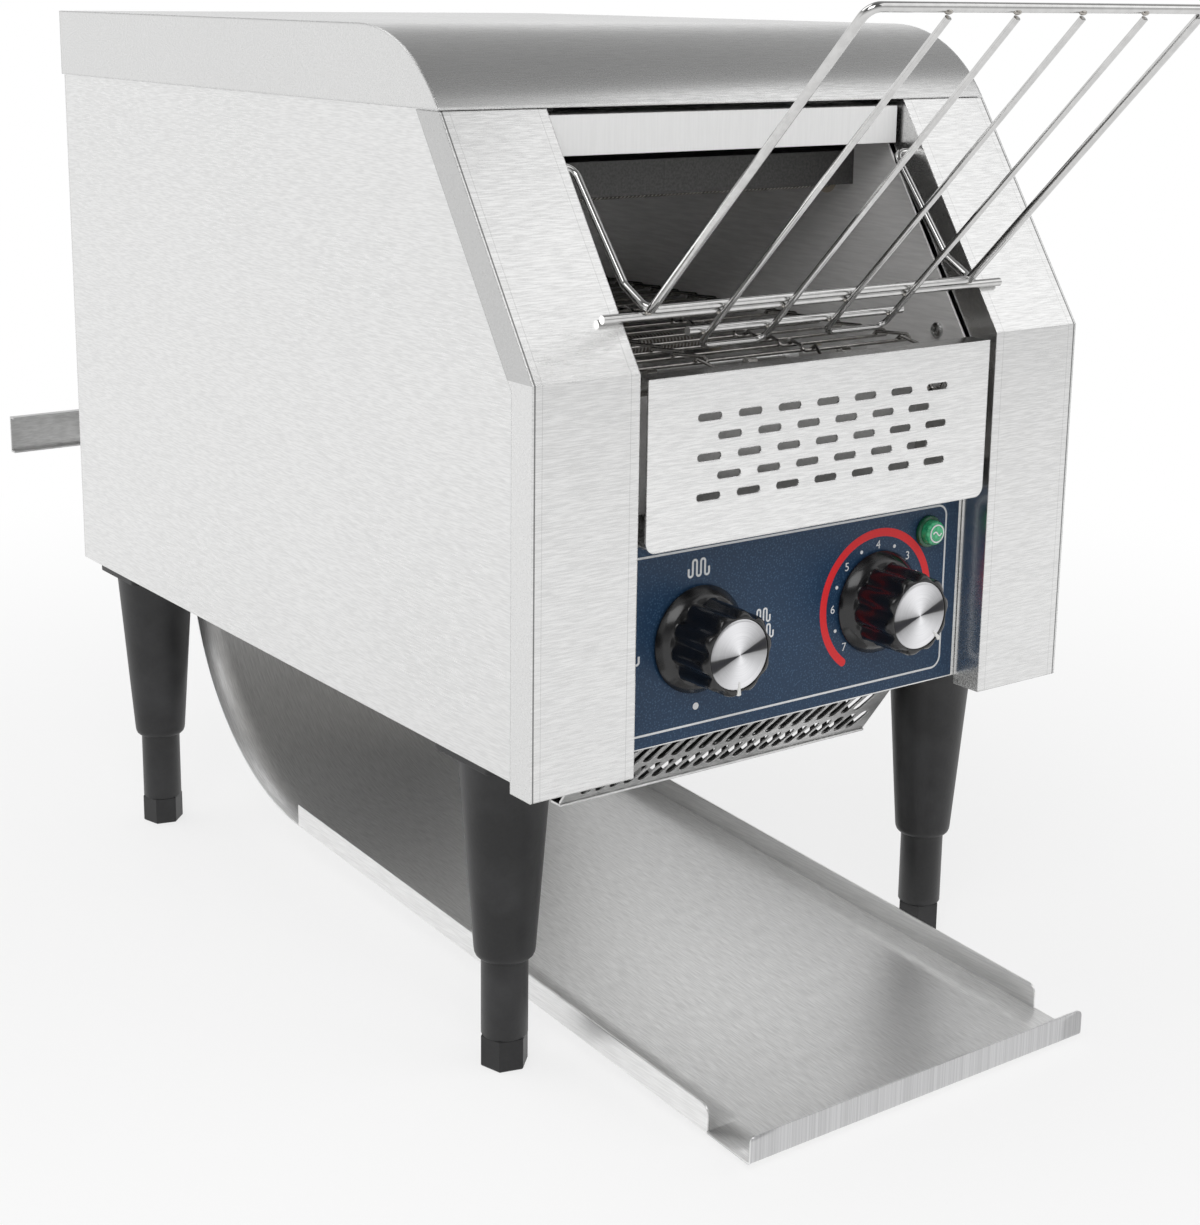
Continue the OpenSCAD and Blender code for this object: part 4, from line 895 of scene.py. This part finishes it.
def knob(name, cx, body, turn):
    """A fluted knob with its cap and its pointer, which stands at turn degrees."""
    centre = at(cx, panel_y, knob_z)
    body_piece = turned_shape(name + "_grip", grip, centre, (0, -1, 0), knob_black, 140, 10, 42)
    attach(body_piece, body)
    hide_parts(name)

    # the cap: a dished disc whose UV map runs round it, for the spun grooves
    levels = [(0.0, 27.2), (5.0, 27.15), (10.0, 27.1), (13.4, 27.1), (14.0, 27.0), (14.4, 26.7), (14.5, 26.2)]
    sides, steps = 72, len(levels) - 1
    vertices, faces, uv = [], [], []
    for r, h in levels:
        for k in range(sides):
            a = 2 * math.pi * k / sides
            place = Vector((max(r, 0.05) * math.cos(a), -h, max(r, 0.05) * math.sin(a)))
            vertices.append(centre + place / 1000)
    for i in range(steps):
        for k in range(sides):
            a, b = i * sides + k, i * sides + (k + 1) % sides
            faces.append((a, b, b + sides, a + sides))
            u, v = (k / sides, (k + 1) / sides), (i / steps, (i + 1) / steps)
            uv.append([(u[0], v[0]), (u[1], v[0]), (u[1], v[1]), (u[0], v[1])])
    faces.append(tuple(range(sides))[::-1])
    uv.append([(k / sides, 0.0) for k in range(sides)][::-1])
    faces.append(tuple(steps * sides + k for k in range(sides)))
    uv.append([(k / sides, 1.0) for k in range(sides)])
    mesh = mesh_of(name + "_cap", vertices, faces)
    layer = mesh.uv_layers.new(name="rings")
    for face, corners in zip(mesh.polygons, uv):
        for loop, value in zip(face.loop_indices, corners):
            layer.data[loop].uv = value
    faces_out(mesh)
    cap = piece_of(name + "_cap_disc", mesh, cap_metal, 30)
    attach(cap, body)
    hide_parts(name + "_cap")

    # the pointer: a short white spike from the cap's edge to the rim
    way = math.radians(turn)
    out_way = Vector((math.cos(way), 0, math.sin(way)))
    across_it = Vector((-math.sin(way), 0, math.cos(way)))
    spike = []
    for h in (27.25, 26.4):
        for r, w in ((11.2, 0.25), (16.6, 1.0), (16.9, 0.0), (16.6, -1.0), (11.2, -0.25)):
            spike.append(centre + (out_way * r + across_it * w + Vector((0, -h, 0))) / 1000)
    sides_of = [(i, (i + 1) % 5, (i + 1) % 5 + 5, i + 5) for i in range(5)]
    mesh = mesh_of(name + "_pointer", spike, [(0, 1, 2, 3, 4), (9, 8, 7, 6, 5)] + sides_of)
    faces_out(mesh)
    pointer = piece_of(name + "_pointer", mesh, pointer_white)
    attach(pointer, body)


knob("heat_knob", heat_x, "heat_dial", -90)
knob("speed_knob", speed_x, "speed_dial", -45)

lens_green, nodes, links, shader = new_material("green lamp lens")
shader.inputs["Transmission Weight"].default_value = 0.25
shader.inputs["IOR"].default_value = 1.49
shader.inputs["Coat Weight"].default_value = 0.5
place = nodes.new("ShaderNodeTexCoord")
prisms = nodes.new("ShaderNodeTexVoronoi")
prisms.inputs["Scale"].default_value = 520.0
links.new(place.outputs["Object"], prisms.inputs["Vector"])
green = ramp(nodes, links, prisms.outputs["Distance"], (0.1, (0.10, 0.80, 0.36)), (0.8, (0.02, 0.42, 0.17)))
links.new(green, shader.inputs["Base Color"])
glint = maths(nodes, links, "MULTIPLY_ADD", prisms.outputs["Distance"], 0.2, 0.12)
links.new(glint, shader.inputs["Roughness"])
facets = nodes.new("ShaderNodeBump")
facets.inputs["Strength"].default_value, facets.inputs["Distance"].default_value = 0.4, 0.0003
links.new(prisms.outputs["Distance"], facets.inputs["Height"])
links.new(facets.outputs[0], shader.inputs["Normal"])
bezel_green = moulded("lamp bezel green", (0.004, 0.09, 0.035), (0.01, 0.14, 0.06), 0.25, 1500.0, 0.1,
                      coat=0.4)
lamp_centre = at(lamp_x, panel_y, lamp_z)
bezel_rings = [(0.16, 6.8), (0.3, 7.05), (1.0, 7.1), (1.7, 6.8), (2.0, 6.3), (2.2, 5.9), (2.2, 5.6),
               (1.0, 5.55)]
bezel = turned_shape("lamp_bezel", bezel_rings, lamp_centre, (0, -1, 0), bezel_green, 64)
lens_rings = [(1.0, 5.45), (4.6, 5.4), (5.2, 5.2), (5.7, 4.7), (6.0, 3.8), (6.2, 2.4), (6.3, 1.0)]
lens = turned_shape("lamp_lens_dome", lens_rings, lamp_centre, (0, -1, 0), lens_green, 64)
for piece in (bezel, lens):
    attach(piece, "casing")
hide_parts("lamp_lens")
slab("lamp_ring", ring(lamp_x, lamp_z, 4.1, 32), panel_y - 6.15, panel_y - 5.85, white_ink,
     holes=[ring(lamp_x, lamp_z, 3.5, 32)])
lamp_wave = [(lamp_x - 2.4 + 0.4 * k, lamp_z + 0.9 * math.sin(k * math.pi / 6)) for k in range(13)]
slab("lamp_wave", stroke(lamp_wave, 0.6), panel_y - 6.34, panel_y - 6.1, white_ink)
lamp_black = moulded("black nylon", (0.012, 0.012, 0.012), (0.03, 0.03, 0.03), 0.42)
dress(lamp_black, "lamp_body", "cord_gland")
switch_ivory = moulded("switch ivory", (0.62, 0.58, 0.48), (0.5, 0.46, 0.38), 0.5)
dress(switch_ivory, "heat_switch", "terminal_block")
board_green = moulded("circuit board", (0.02, 0.11, 0.05), (0.30, 0.26, 0.14), 0.4, 700.0, 0.5)
dress(board_green, "speed_control")

# ---------------------------------------------------------------- legs and feet
# Each leg is a black glass-filled nylon sleeve, screwed up under the base by its square
# plate. The foot screws in and out of it and ends in a hexagon for the fingers or a spanner.

leg_black = moulded("leg black", (0.004, 0.004, 0.0045), (0.034, 0.034, 0.036), 0.42, 800.0, 0.8, 0.0006)
leg_x, leg_ys, plate_half = 119.4, {"front": 53.7, "rear": 384.0}, 21.5
sleeve_rings = [(-88.0, 10.3), (-88.0, 11.1), (-87.9, 11.5), (-87.2, 12.2), (-86.0, 12.7), (-84.6, 12.9),
                (-82, 13.1), (-56, 15.1), (-28, 17.2), (-1.8, 19.2), (-0.8, 19.6), (0.3, 19.8)]
tube_rings = [(-122.9, 9.7), (-122.6, 9.85), (-54.0, 9.9)]
hexagon_rings = [(-137, 9.7), (-136.4, 10.3), (-123.4, 10.3), (-122.8, 9.8)]


def laid_at(place, angle):
    """The move of a slab drawn round the columns' front corner to a place, tipped by an angle."""
    return Matrix.Translation(place) @ Matrix.Rotation(angle, 4, "X") @ Matrix.Translation(-at(0, 0, 0))


def rounded(piece, width):
    """Rounds a piece's sharp edges; the width is in metres."""
    rounding = piece.modifiers.new("bevel", "BEVEL")
    rounding.width, rounding.segments, rounding.limit_method = width, 2, "ANGLE"


for end, leg_y in leg_ys.items():
    for hand, sign in (("left", -1), ("right", 1)):
        leg = "_%s_%s" % (end, hand)
        top = at(sign * leg_x, leg_y, 0)
        sleeve = turned_shape("sleeve" + leg, sleeve_rings, top, (0, 0, 1), leg_black, 80, smooth=50)
        square = rounded_box(-plate_half, plate_half, -plate_half, plate_half, 4)
        plate = slab("plate" + leg, square, 0.0, 4.0, leg_black)
        plate.data.transform(laid_at(top, math.pi / 2))
        rounded(plate, 0.0006)
        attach(sleeve, "casing")
        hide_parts("leg_sleeve" + leg)
        foot = turned_shape("foot_tube" + leg, tube_rings, top, (0, 0, 1), leg_black, 64)
        hexagon = turned_shape("foot_hexagon" + leg, hexagon_rings, top, (0, 0, 1), leg_black, 6, smooth=20)
        for piece in (foot, hexagon):
            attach(piece, "screw_foot" + leg)
        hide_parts("foot" + leg)

# ---------------------------------------------------------------- loading rack
# A hoop, two cross bars and two U-shaped pairs of tines, bent from polished stainless wire
# and spot welded where they cross. Its lower wire swings on two pins behind the columns.

lean_angle = math.atan2(63, 95)
rack_angle = math.radians(45)
column_up = Vector((0, math.sin(lean_angle), math.cos(lean_angle)))
column_in = Vector((0, math.cos(lean_angle), -math.sin(lean_angle)))
rack_up = Vector((0, -math.cos(rack_angle), math.sin(rack_angle)))
rack_face = Vector((0, math.sin(rack_angle), math.cos(rack_angle)))
thick_wire, thin_wire, rack_length = 3.6, 2.6, 160.0
rack_half, hoop_half, bar_half, tine_step = 86.0, 84.5, 105.5, 33.0
bend_line = Vector((0, 0, column_bend))
bar_line = bend_line + 22.5 * column_up - (thick_wire / 2 + 0.3) * column_in
hoop_foot = bar_line + (thick_wire - 0.01) * rack_up
hoop_top = hoop_foot + rack_length * rack_up
pin_line = bend_line + 92 * column_up + 8 * column_in
elbow_line = bend_line + (22.5 + 15.5) * column_up + 2.5 * column_in
low_bar = bar_line - 13 * rack_up
tine_shift = -((thick_wire + thin_wire) / 2 - 0.1) * rack_face
tine_low = bar_line - 20 * rack_up + tine_shift
tine_top = hoop_top - thick_wire / 2 * rack_up + tine_shift

rack_tree, nodes, links, given, made = geometry_tree("bent wire", [
    ("Wire Diameter", "NodeSocketFloat", 0.0036), ("Bend Radius", "NodeSocketFloat", 0.005),
    ("Sides", "NodeSocketInt", 18), ("Material", "NodeSocketMaterial", None)])
end_tree(nodes, links, given, made, drawn_wire(nodes, links, given, bent_line(nodes, links, given, 8)))

polished_wire = bare_metal("polished wire", (300, 300, 300), 0.66, 0.60, 0.08, 0.0, 0.3, 0.0001,
                           (1, 0.995, 0.985))


def bent_wires(name, runs, diameter, sides=18):
    """The rack's wires along runs of points (millimetres), as one piece."""
    points, edges = [], []
    for wire in runs:
        edges += [(len(points) + i, len(points) + i + 1) for i in range(len(wire) - 1)]
        points += [at(*p) for p in wire]
    piece = piece_of(name, mesh_of(name, points, [], edges), None)
    run_tree(piece, rack_tree, Wire_Diameter=diameter / 1000, Sides=sides, Material=polished_wire)
    piece.data.shade_smooth()
    piece.data.set_sharp_from_angle(angle=math.radians(50))
    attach(piece, "loading_rack")
    return piece


def across(line, *places):
    """Points at some places across the rack, all on one level line."""
    return [Vector((x, line.y, line.z)) for x in places]


left_foot, right_foot = across(hoop_foot, -hoop_half, hoop_half)
hoop = [left_foot, *across(hoop_top, -hoop_half, hoop_half), right_foot]
lower_wire = [*across(pin_line, -97, -rack_half), *across(elbow_line, -rack_half),
              *across(hoop_foot, -rack_half, rack_half), *across(elbow_line, rack_half),
              *across(pin_line, rack_half, 97)]
rack_wires = bent_wires("rack_hoop_and_lower_wire", [hoop, lower_wire], thick_wire)
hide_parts("rack_frame")
cross_bars = [across(bar_line, -bar_half, bar_half), across(low_bar, -2 * rack_half / 3, 2 * rack_half / 3)]
rack_cross = bent_wires("rack_cross_bars", cross_bars, thick_wire)
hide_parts("rack_bars")
tine_runs, tine_places = [], []
for s in (-1, 1):
    a = s * tine_step - tine_step / 2
    b = a + tine_step
    tine_runs.append(across(tine_top, a) + across(tine_low, a, b) + across(tine_top, b))
    tine_places += [a, b]
rack_tines = bent_wires("rack_tine_pairs", tine_runs, thin_wire, 14)
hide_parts("rack_tines")

# spot welds: a small flattened bead wherever two wires meet
weld_tree, nodes, links, given, made = geometry_tree("weld beads", [
    ("Bead Size", "NodeSocketFloat", 0.0011), ("Material", "NodeSocketMaterial", None)])
bead = nodes.new("GeometryNodeMeshIcoSphere")
bead.inputs["Subdivisions"].default_value = 3
links.new(given.outputs["Bead Size"], bead.inputs["Radius"])
spots = nodes.new("GeometryNodeInstanceOnPoints")
links.new(given.outputs["Geometry"], spots.inputs["Points"])
links.new(bead.outputs[0], spots.inputs["Instance"])
spots.inputs["Scale"].default_value = (1.7, 0.9, 0.9)
end_tree(nodes, links, given, made, spots.outputs[0])
weld_places = []
for x in tine_places:
    weld_places += [p - rack_face * 1.75 for p in across(bar_line, x) + across(low_bar, x)]
    weld_places += [p - rack_face * 1.7 - rack_up * 0.4 for p in across(hoop_top, x)]
weld_places += across(bar_line + 1.8 * rack_up, -hoop_half, hoop_half)
weld_steel = bare_metal("weld steel", (700, 700, 700), 0.50, 0.34, 0.30, 0.5, 0.9, 0.0001, (1, 0.95, 0.88))
welds = piece_of("rack_welds", mesh_of("rack welds", [at(*p) for p in weld_places], []), None)
run_tree(welds, weld_tree, Material=weld_steel)
welds.data.shade_smooth()
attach(welds, "loading_rack")

# ---------------------------------------------------------------- toast slide
# One 1 mm stainless sheet, rolled to a wide bend behind and folded up along both sides and
# at its front lip. Its rear edge is curled over a rod, and toast runs down it to the front.

casing_depth = 420
slide_half, slide_radius, slide_fall, slide_reach, lip_height = 92.0, 123.0, math.radians(3.1), 72.0, 12.0
slide_back, slide_mid, curl_r, curl_z = casing_depth - 20.6, 9.0, 3.0, 36.0
bend_centre = (slide_back - slide_radius, slide_mid)
flat_start = (bend_centre[0] + slide_radius * math.sin(slide_fall),
              slide_mid - slide_radius * math.cos(slide_fall))
flange_start, flange_end = flat_start[0], -slide_reach + 25.0


def flat_z(y):
    """Height of the slide's middle line on its flat run."""
    return flat_start[1] - (flat_start[0] - y) * math.tan(slide_fall)


rows = []      # (y, z, half width)
for k in range(18, 0, -1):
    a = math.radians(10 * k)
    rows.append((slide_back - curl_r + curl_r * math.cos(a), curl_z + curl_r * math.sin(a), slide_half))
rows.append((slide_back, curl_z, slide_half))
rows.append((slide_back, (curl_z + slide_mid) / 2, slide_half))
for k in range(0, 73):
    a = (slide_fall - math.pi / 2) * k / 72
    y = bend_centre[0] + slide_radius * math.cos(a)
    rows.append((y, slide_mid + slide_radius * math.sin(a), slide_half))
fold, between_flanges = 1.6, slide_half - 0.8
rows += [(flange_start - 0.4, flat_z(flange_start - 0.4), slide_half),
         (flange_start - 0.5, flat_z(flange_start - 0.5), between_flanges)]
for k in range(1, 12):
    y = flange_start + (flange_end - flange_start) * k / 12
    rows.append((y, flat_z(y), between_flanges))
rows += [(flange_end + 0.5, flat_z(flange_end), between_flanges),
         (flange_end + 0.4, flat_z(flange_end), slide_half)]
lip_y, lip_foot = -slide_reach - 0.5, flat_z(-slide_reach)
rows.append((lip_y + fold + 6, flat_z(lip_y + fold + 6), slide_half))
for k in range(0, 9):
    a = -math.pi / 2 - math.pi / 2 * k / 8
    rows.append((lip_y + fold + fold * math.cos(a), lip_foot + fold + fold * math.sin(a), slide_half))
corner = 2.5
for k in range(0, 11):
    h = lip_height - corner + corner * math.sin(math.pi / 2 * k / 10)
    rows.append((lip_y, lip_foot - 0.5 + h, slide_half - corner + corner * math.cos(math.pi / 2 * k / 10)))
columns = [-1, -0.8, -0.4, 0, 0.4, 0.8, 1]
wide = len(columns)
vertices = [at(u * half, y, z) for y, z, half in rows for u in columns]
faces = [(r * wide + c, r * wide + c + 1, (r + 1) * wide + c + 1, (r + 1) * wide + c)
         for r in range(len(rows) - 1) for c in range(wide - 1)]
slide_steel = bare_metal("slide steel", (1700, 110, 1700), 0.98, 0.80, 0.42, 0.3, 0.5, 0.0003, metallic=0.83)
flange_steel = bare_metal("slide flange steel", (1500, 70, 1500), 0.96, 0.84, 0.36, 0.12, 0.5, 0.0003,
                          metallic=0.85)

# the grain follows the sheet round its bend: past the bend's centre it is measured on the arc
nodes, links = slide_steel.node_tree.nodes, slide_steel.node_tree.links
split = nodes.new("ShaderNodeSeparateXYZ")
links.new(nodes["Texture Coordinate"].outputs["Object"], split.inputs[0])
middle = at(0, *bend_centre)
behind_bend = maths(nodes, links, "SUBTRACT", split.outputs["Y"], middle.y)
below_bend = maths(nodes, links, "SUBTRACT", middle.z, split.outputs["Z"])
swung = maths(nodes, links, "ARCTAN2", maths(nodes, links, "MAXIMUM", behind_bend, 0.0),
              maths(nodes, links, "MAXIMUM", below_bend, 0.0001))
along_sheet = maths(nodes, links, "MULTIPLY_ADD", swung, slide_radius / 1000,
                    maths(nodes, links, "MINIMUM", behind_bend, 0.0))
along_sheet = maths(nodes, links, "SUBTRACT", along_sheet, maths(nodes, links, "MINIMUM", below_bend, 0.0))
flowing = nodes.new("ShaderNodeCombineXYZ")
links.new(split.outputs["X"], flowing.inputs["X"])
links.new(along_sheet, flowing.inputs["Y"])
links.new(flowing.outputs[0], nodes["Group"].inputs["Place"])
# painted shade: the lip's outer face is made darker than the run
lip_painted_shade = maths(nodes, links, "LESS_THAN", split.outputs["Y"], at(0, -slide_reach - 0.7, 0).y)
marked(slide_steel, lip_painted_shade, (0.70, 0.70, 0.71))
sheet = piece_of("slide_sheet", mesh_of("slide sheet", vertices, faces), slide_steel, 30)
skin = sheet.modifiers.new("sheet", "SOLIDIFY")
skin.thickness, skin.offset, skin.use_even_offset = 0.001, 0.0, True
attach(sheet, "slide")
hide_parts("toast_slide")

corner, top_front = 4.0, flange_end + 0.2
top_z = flat_z(top_front) + 11.2 - corner
outline = [(flange_start - 0.2, flat_z(flange_start) + z) for z in (-0.5, 11)]
for k in range(0, 9):
    a = math.pi / 2 * k / 8
    outline.append((top_front + corner - corner * math.sin(a), top_z + corner * math.cos(a)))
outline.append((top_front, flat_z(top_front) - 0.5))
for hand, sign in (("left", -1), ("right", 1)):
    form = bmesh.new()
    loops = [[form.verts.new(at(sign * x, y, z)) for y, z in outline] for x in (slide_half, slide_half - 1.0)]
    form.faces.new(loops[0])
    form.faces.new(loops[1][::-1])
    for i in range(len(outline)):
        k = (i + 1) % len(outline)
        form.faces.new((loops[0][i], loops[0][k], loops[1][k], loops[1][i]))
    bmesh.ops.recalc_face_normals(form, faces=form.faces)
    mesh = bpy.data.meshes.new("slide flange " + hand)
    form.to_mesh(mesh)
    form.free()
    flange = piece_of("slide_flange_" + hand, mesh, flange_steel, 30)
    rounded(flange, 0.0003)
    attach(flange, "slide")

hanger_steel = bare_metal("hanger steel", (160, 900, 900), 0.66, 0.54, 0.36, 0.2)
dress(hanger_steel, "slide_hanger", "wall_spacer")

# ---------------------------------------------------------------- vent trough
# The folded sheet trough under the control box lets air in to the switches. Its front wall has
# two rows of slanted slots, its rear wall and floor one each, and it hangs by its flanges.

trough_lean = 53.7      # degrees
trough_y, trough_top, trough_half = panel_y + 20, 4.0, 86.0
trough_slope = 37 / math.sin(math.radians(trough_lean))
trough_turn = math.radians(90 - trough_lean)
trough_foot = trough_y + trough_slope * math.sin(trough_turn)
trough_mid = trough_foot + 3
# painted shade: the trough's rear wall is near black, for the shade inside the trough
painted_shade_sheet = bare_metal("shaded plated sheet", (160, 700, 700), 0.08, 0.06, 0.5, 0.2)


def slanted_slot(cx, cz, length, width, turn):
    """An upright rounded slot, leaning by turn degrees."""
    r, half, lean_by = width / 2, (length - width) / 2, math.radians(turn)
    loop = []
    for up in (1, -1):
        for k in range(6):
            a = math.pi * k / 5 + (0 if up > 0 else math.pi)
            x, z = r * math.cos(a), up * half + r * math.sin(a)
            loop.append((cx + x * math.cos(lean_by) - z * math.sin(lean_by),
                         cz + x * math.sin(lean_by) + z * math.cos(lean_by)))
    return loop


def trough_side(name, start, turn_by, depth, rows, length, width, mirrored=False, sheet_of=zinc_steel):
    """A slotted sheet that runs down and back from start; rows are (distance down, lean, shift)."""
    slots = [slanted_slot(7.5 * i + shift, -down, length, width, turn)
             for down, turn, shift in rows for i in range(-10, 11)]
    outline = [(-trough_half, 0), (trough_half, 0), (trough_half, -depth), (-trough_half, -depth)]
    wall = slab(name, outline, 0.0, 1.0, sheet_of, holes=slots)
    laid = laid_at(at(0, *start), turn_by)
    if mirrored:
        middle = Matrix.Translation(at(0, trough_mid, 0))
        laid = middle @ Matrix.Diagonal((1, -1, 1, 1)) @ middle.inverted() @ laid
    wall.data.transform(laid)
    if mirrored:
        wall.data.flip_normals()
    return wall


top_line = (trough_y, trough_top)
trough_front = trough_side("vent_trough_front", top_line, trough_turn, trough_slope,
                           [(22.4, -26, -2.0), (36.6, -32, 2.0)], 13.0, 5.2)
trough_side("vent_trough_rear", top_line, trough_turn, trough_slope, [(42.0, -30, -2.0)], 6.8, 4.6,
            True, painted_shade_sheet)
trough_side("vent_trough_floor", (trough_foot - 0.6, -34.0), math.pi / 2, 7.2, [(3.6, -20, 0.0)], 6.4, 4.6)
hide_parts("belly_grille")
rear_edge = 2 * trough_mid - trough_y
flange_strip = [(-trough_half, 3.9), (trough_half, 3.9), (trough_half, 3.0), (-trough_half, 3.0)]
slab("vent_trough_flange_front", flange_strip, trough_y - 6, trough_y + 1, zinc_steel)
slab("vent_trough_flange_rear", flange_strip, rear_edge - 1, rear_edge + 6, zinc_steel)

# ---------------------------------------------------------------- screws
# Pan-head steel screws with a cross recess hold the rear panel, and one holds each inner
# wall beside the mouth.

head = bmesh.new()
head_profile = [(3.5, 0.0), (3.5, 0.55), (3.25, 1.0), (2.8, 1.32), (2.2, 1.52), (1.75, 1.6)]
sides = 24
levels = []
for r, h in head_profile:
    levels.append([head.verts.new((x / 1000, y / 1000, h / 1000)) for x, y in ring(0, 0, r, sides)])
for low, high in zip(levels, levels[1:]):
    for k in range(sides):
        head.faces.new((low[k], low[(k + 1) % sides], high[(k + 1) % sides], high[k]))
head.faces.new(levels[0][::-1])
arm, core = 1.55, 0.36
cross = []
for q in range(4):
    a = math.pi / 2 * q
    for x, y in ((arm, -core), (arm, core), (core, core)):
        cross.append((x * math.cos(a) - y * math.sin(a), x * math.sin(a) + y * math.cos(a)))
rim = [head.verts.new((x / 1000, y / 1000, 0.0016)) for x, y in cross]
deep = [head.verts.new((x * 0.55 / 1000, y * 0.8 / 1000, 0.0006)) for x, y in cross]
for k in range(12):
    head.faces.new((rim[k], rim[(k + 1) % 12], deep[(k + 1) % 12], deep[k]))
head.faces.new(deep)
ring_edges = [e for e in head.edges if e.is_boundary]
bmesh.ops.triangle_fill(head, edges=ring_edges, use_beauty=True)
bmesh.ops.recalc_face_normals(head, faces=head.faces)
head_mesh = bpy.data.meshes.new("screw head")
head.to_mesh(head_mesh)
head.free()
head_holder = bpy.data.objects.new("screw head", head_mesh)
bpy.context.scene.collection.objects.link(head_holder)

screw_tree, nodes, links, given, made = geometry_tree("screw heads", [
    ("Head", "NodeSocketObject", None), ("Facing", "NodeSocketVector", (0, 0, 1)),
    ("Seed", "NodeSocketInt", 3), ("Material", "NodeSocketMaterial", None)])
info = nodes.new("GeometryNodeObjectInfo")
links.new(given.outputs["Head"], info.inputs["Object"])
facing = nodes.new("FunctionNodeAlignEulerToVector")
facing.axis = "Z"
links.new(given.outputs["Facing"], facing.inputs["Vector"])
chance = nodes.new("FunctionNodeRandomValue")
chance.data_type = "FLOAT"
for socket in chance.inputs:
    if socket.name == "Max" and socket.type == "VALUE":
        socket.default_value = math.pi
links.new(given.outputs["Seed"], chance.inputs["Seed"])
spun_on = nodes.new("FunctionNodeRotateEuler")
spun_on.rotation_type, spun_on.space = "AXIS_ANGLE", "LOCAL"
links.new(facing.outputs[0], spun_on.inputs["Rotation"])
spun_on.inputs["Axis"].default_value = (0, 0, 1)
links.new(chance.outputs[1], spun_on.inputs["Angle"])
heads = nodes.new("GeometryNodeInstanceOnPoints")
links.new(given.outputs["Geometry"], heads.inputs["Points"])
links.new(info.outputs["Geometry"], heads.inputs["Instance"])
links.new(spun_on.outputs[0], heads.inputs["Rotation"])
end_tree(nodes, links, given, made, heads.outputs[0])

screw_steel = bare_metal("screw steel", (900, 900, 900), 0.62, 0.50, 0.24, 0.2)
rear_screws = [(s * 136, casing_depth - 1, z) for s in (-1, 1) for z in (30, 120, 210)]
for name, places, way, node in (("rear_screw_heads", rear_screws, (0, 1, 0), "casing_screws"),
                                ("mouth_screw_head_left", [(-93, 33.5, 157)], (1, 0, 0), "wall_screws"),
                                ("mouth_screw_head_right", [(93, 33.5, 157)], (-1, 0, 0), None)):
    piece = piece_of(name, mesh_of(name, [at(*p) for p in places], []), None)
    run_tree(piece, screw_tree, Head=head_holder, Facing=way, Material=screw_steel)
    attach(piece, "casing")
    if node:
        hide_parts(node)
bpy.data.objects.remove(head_holder)
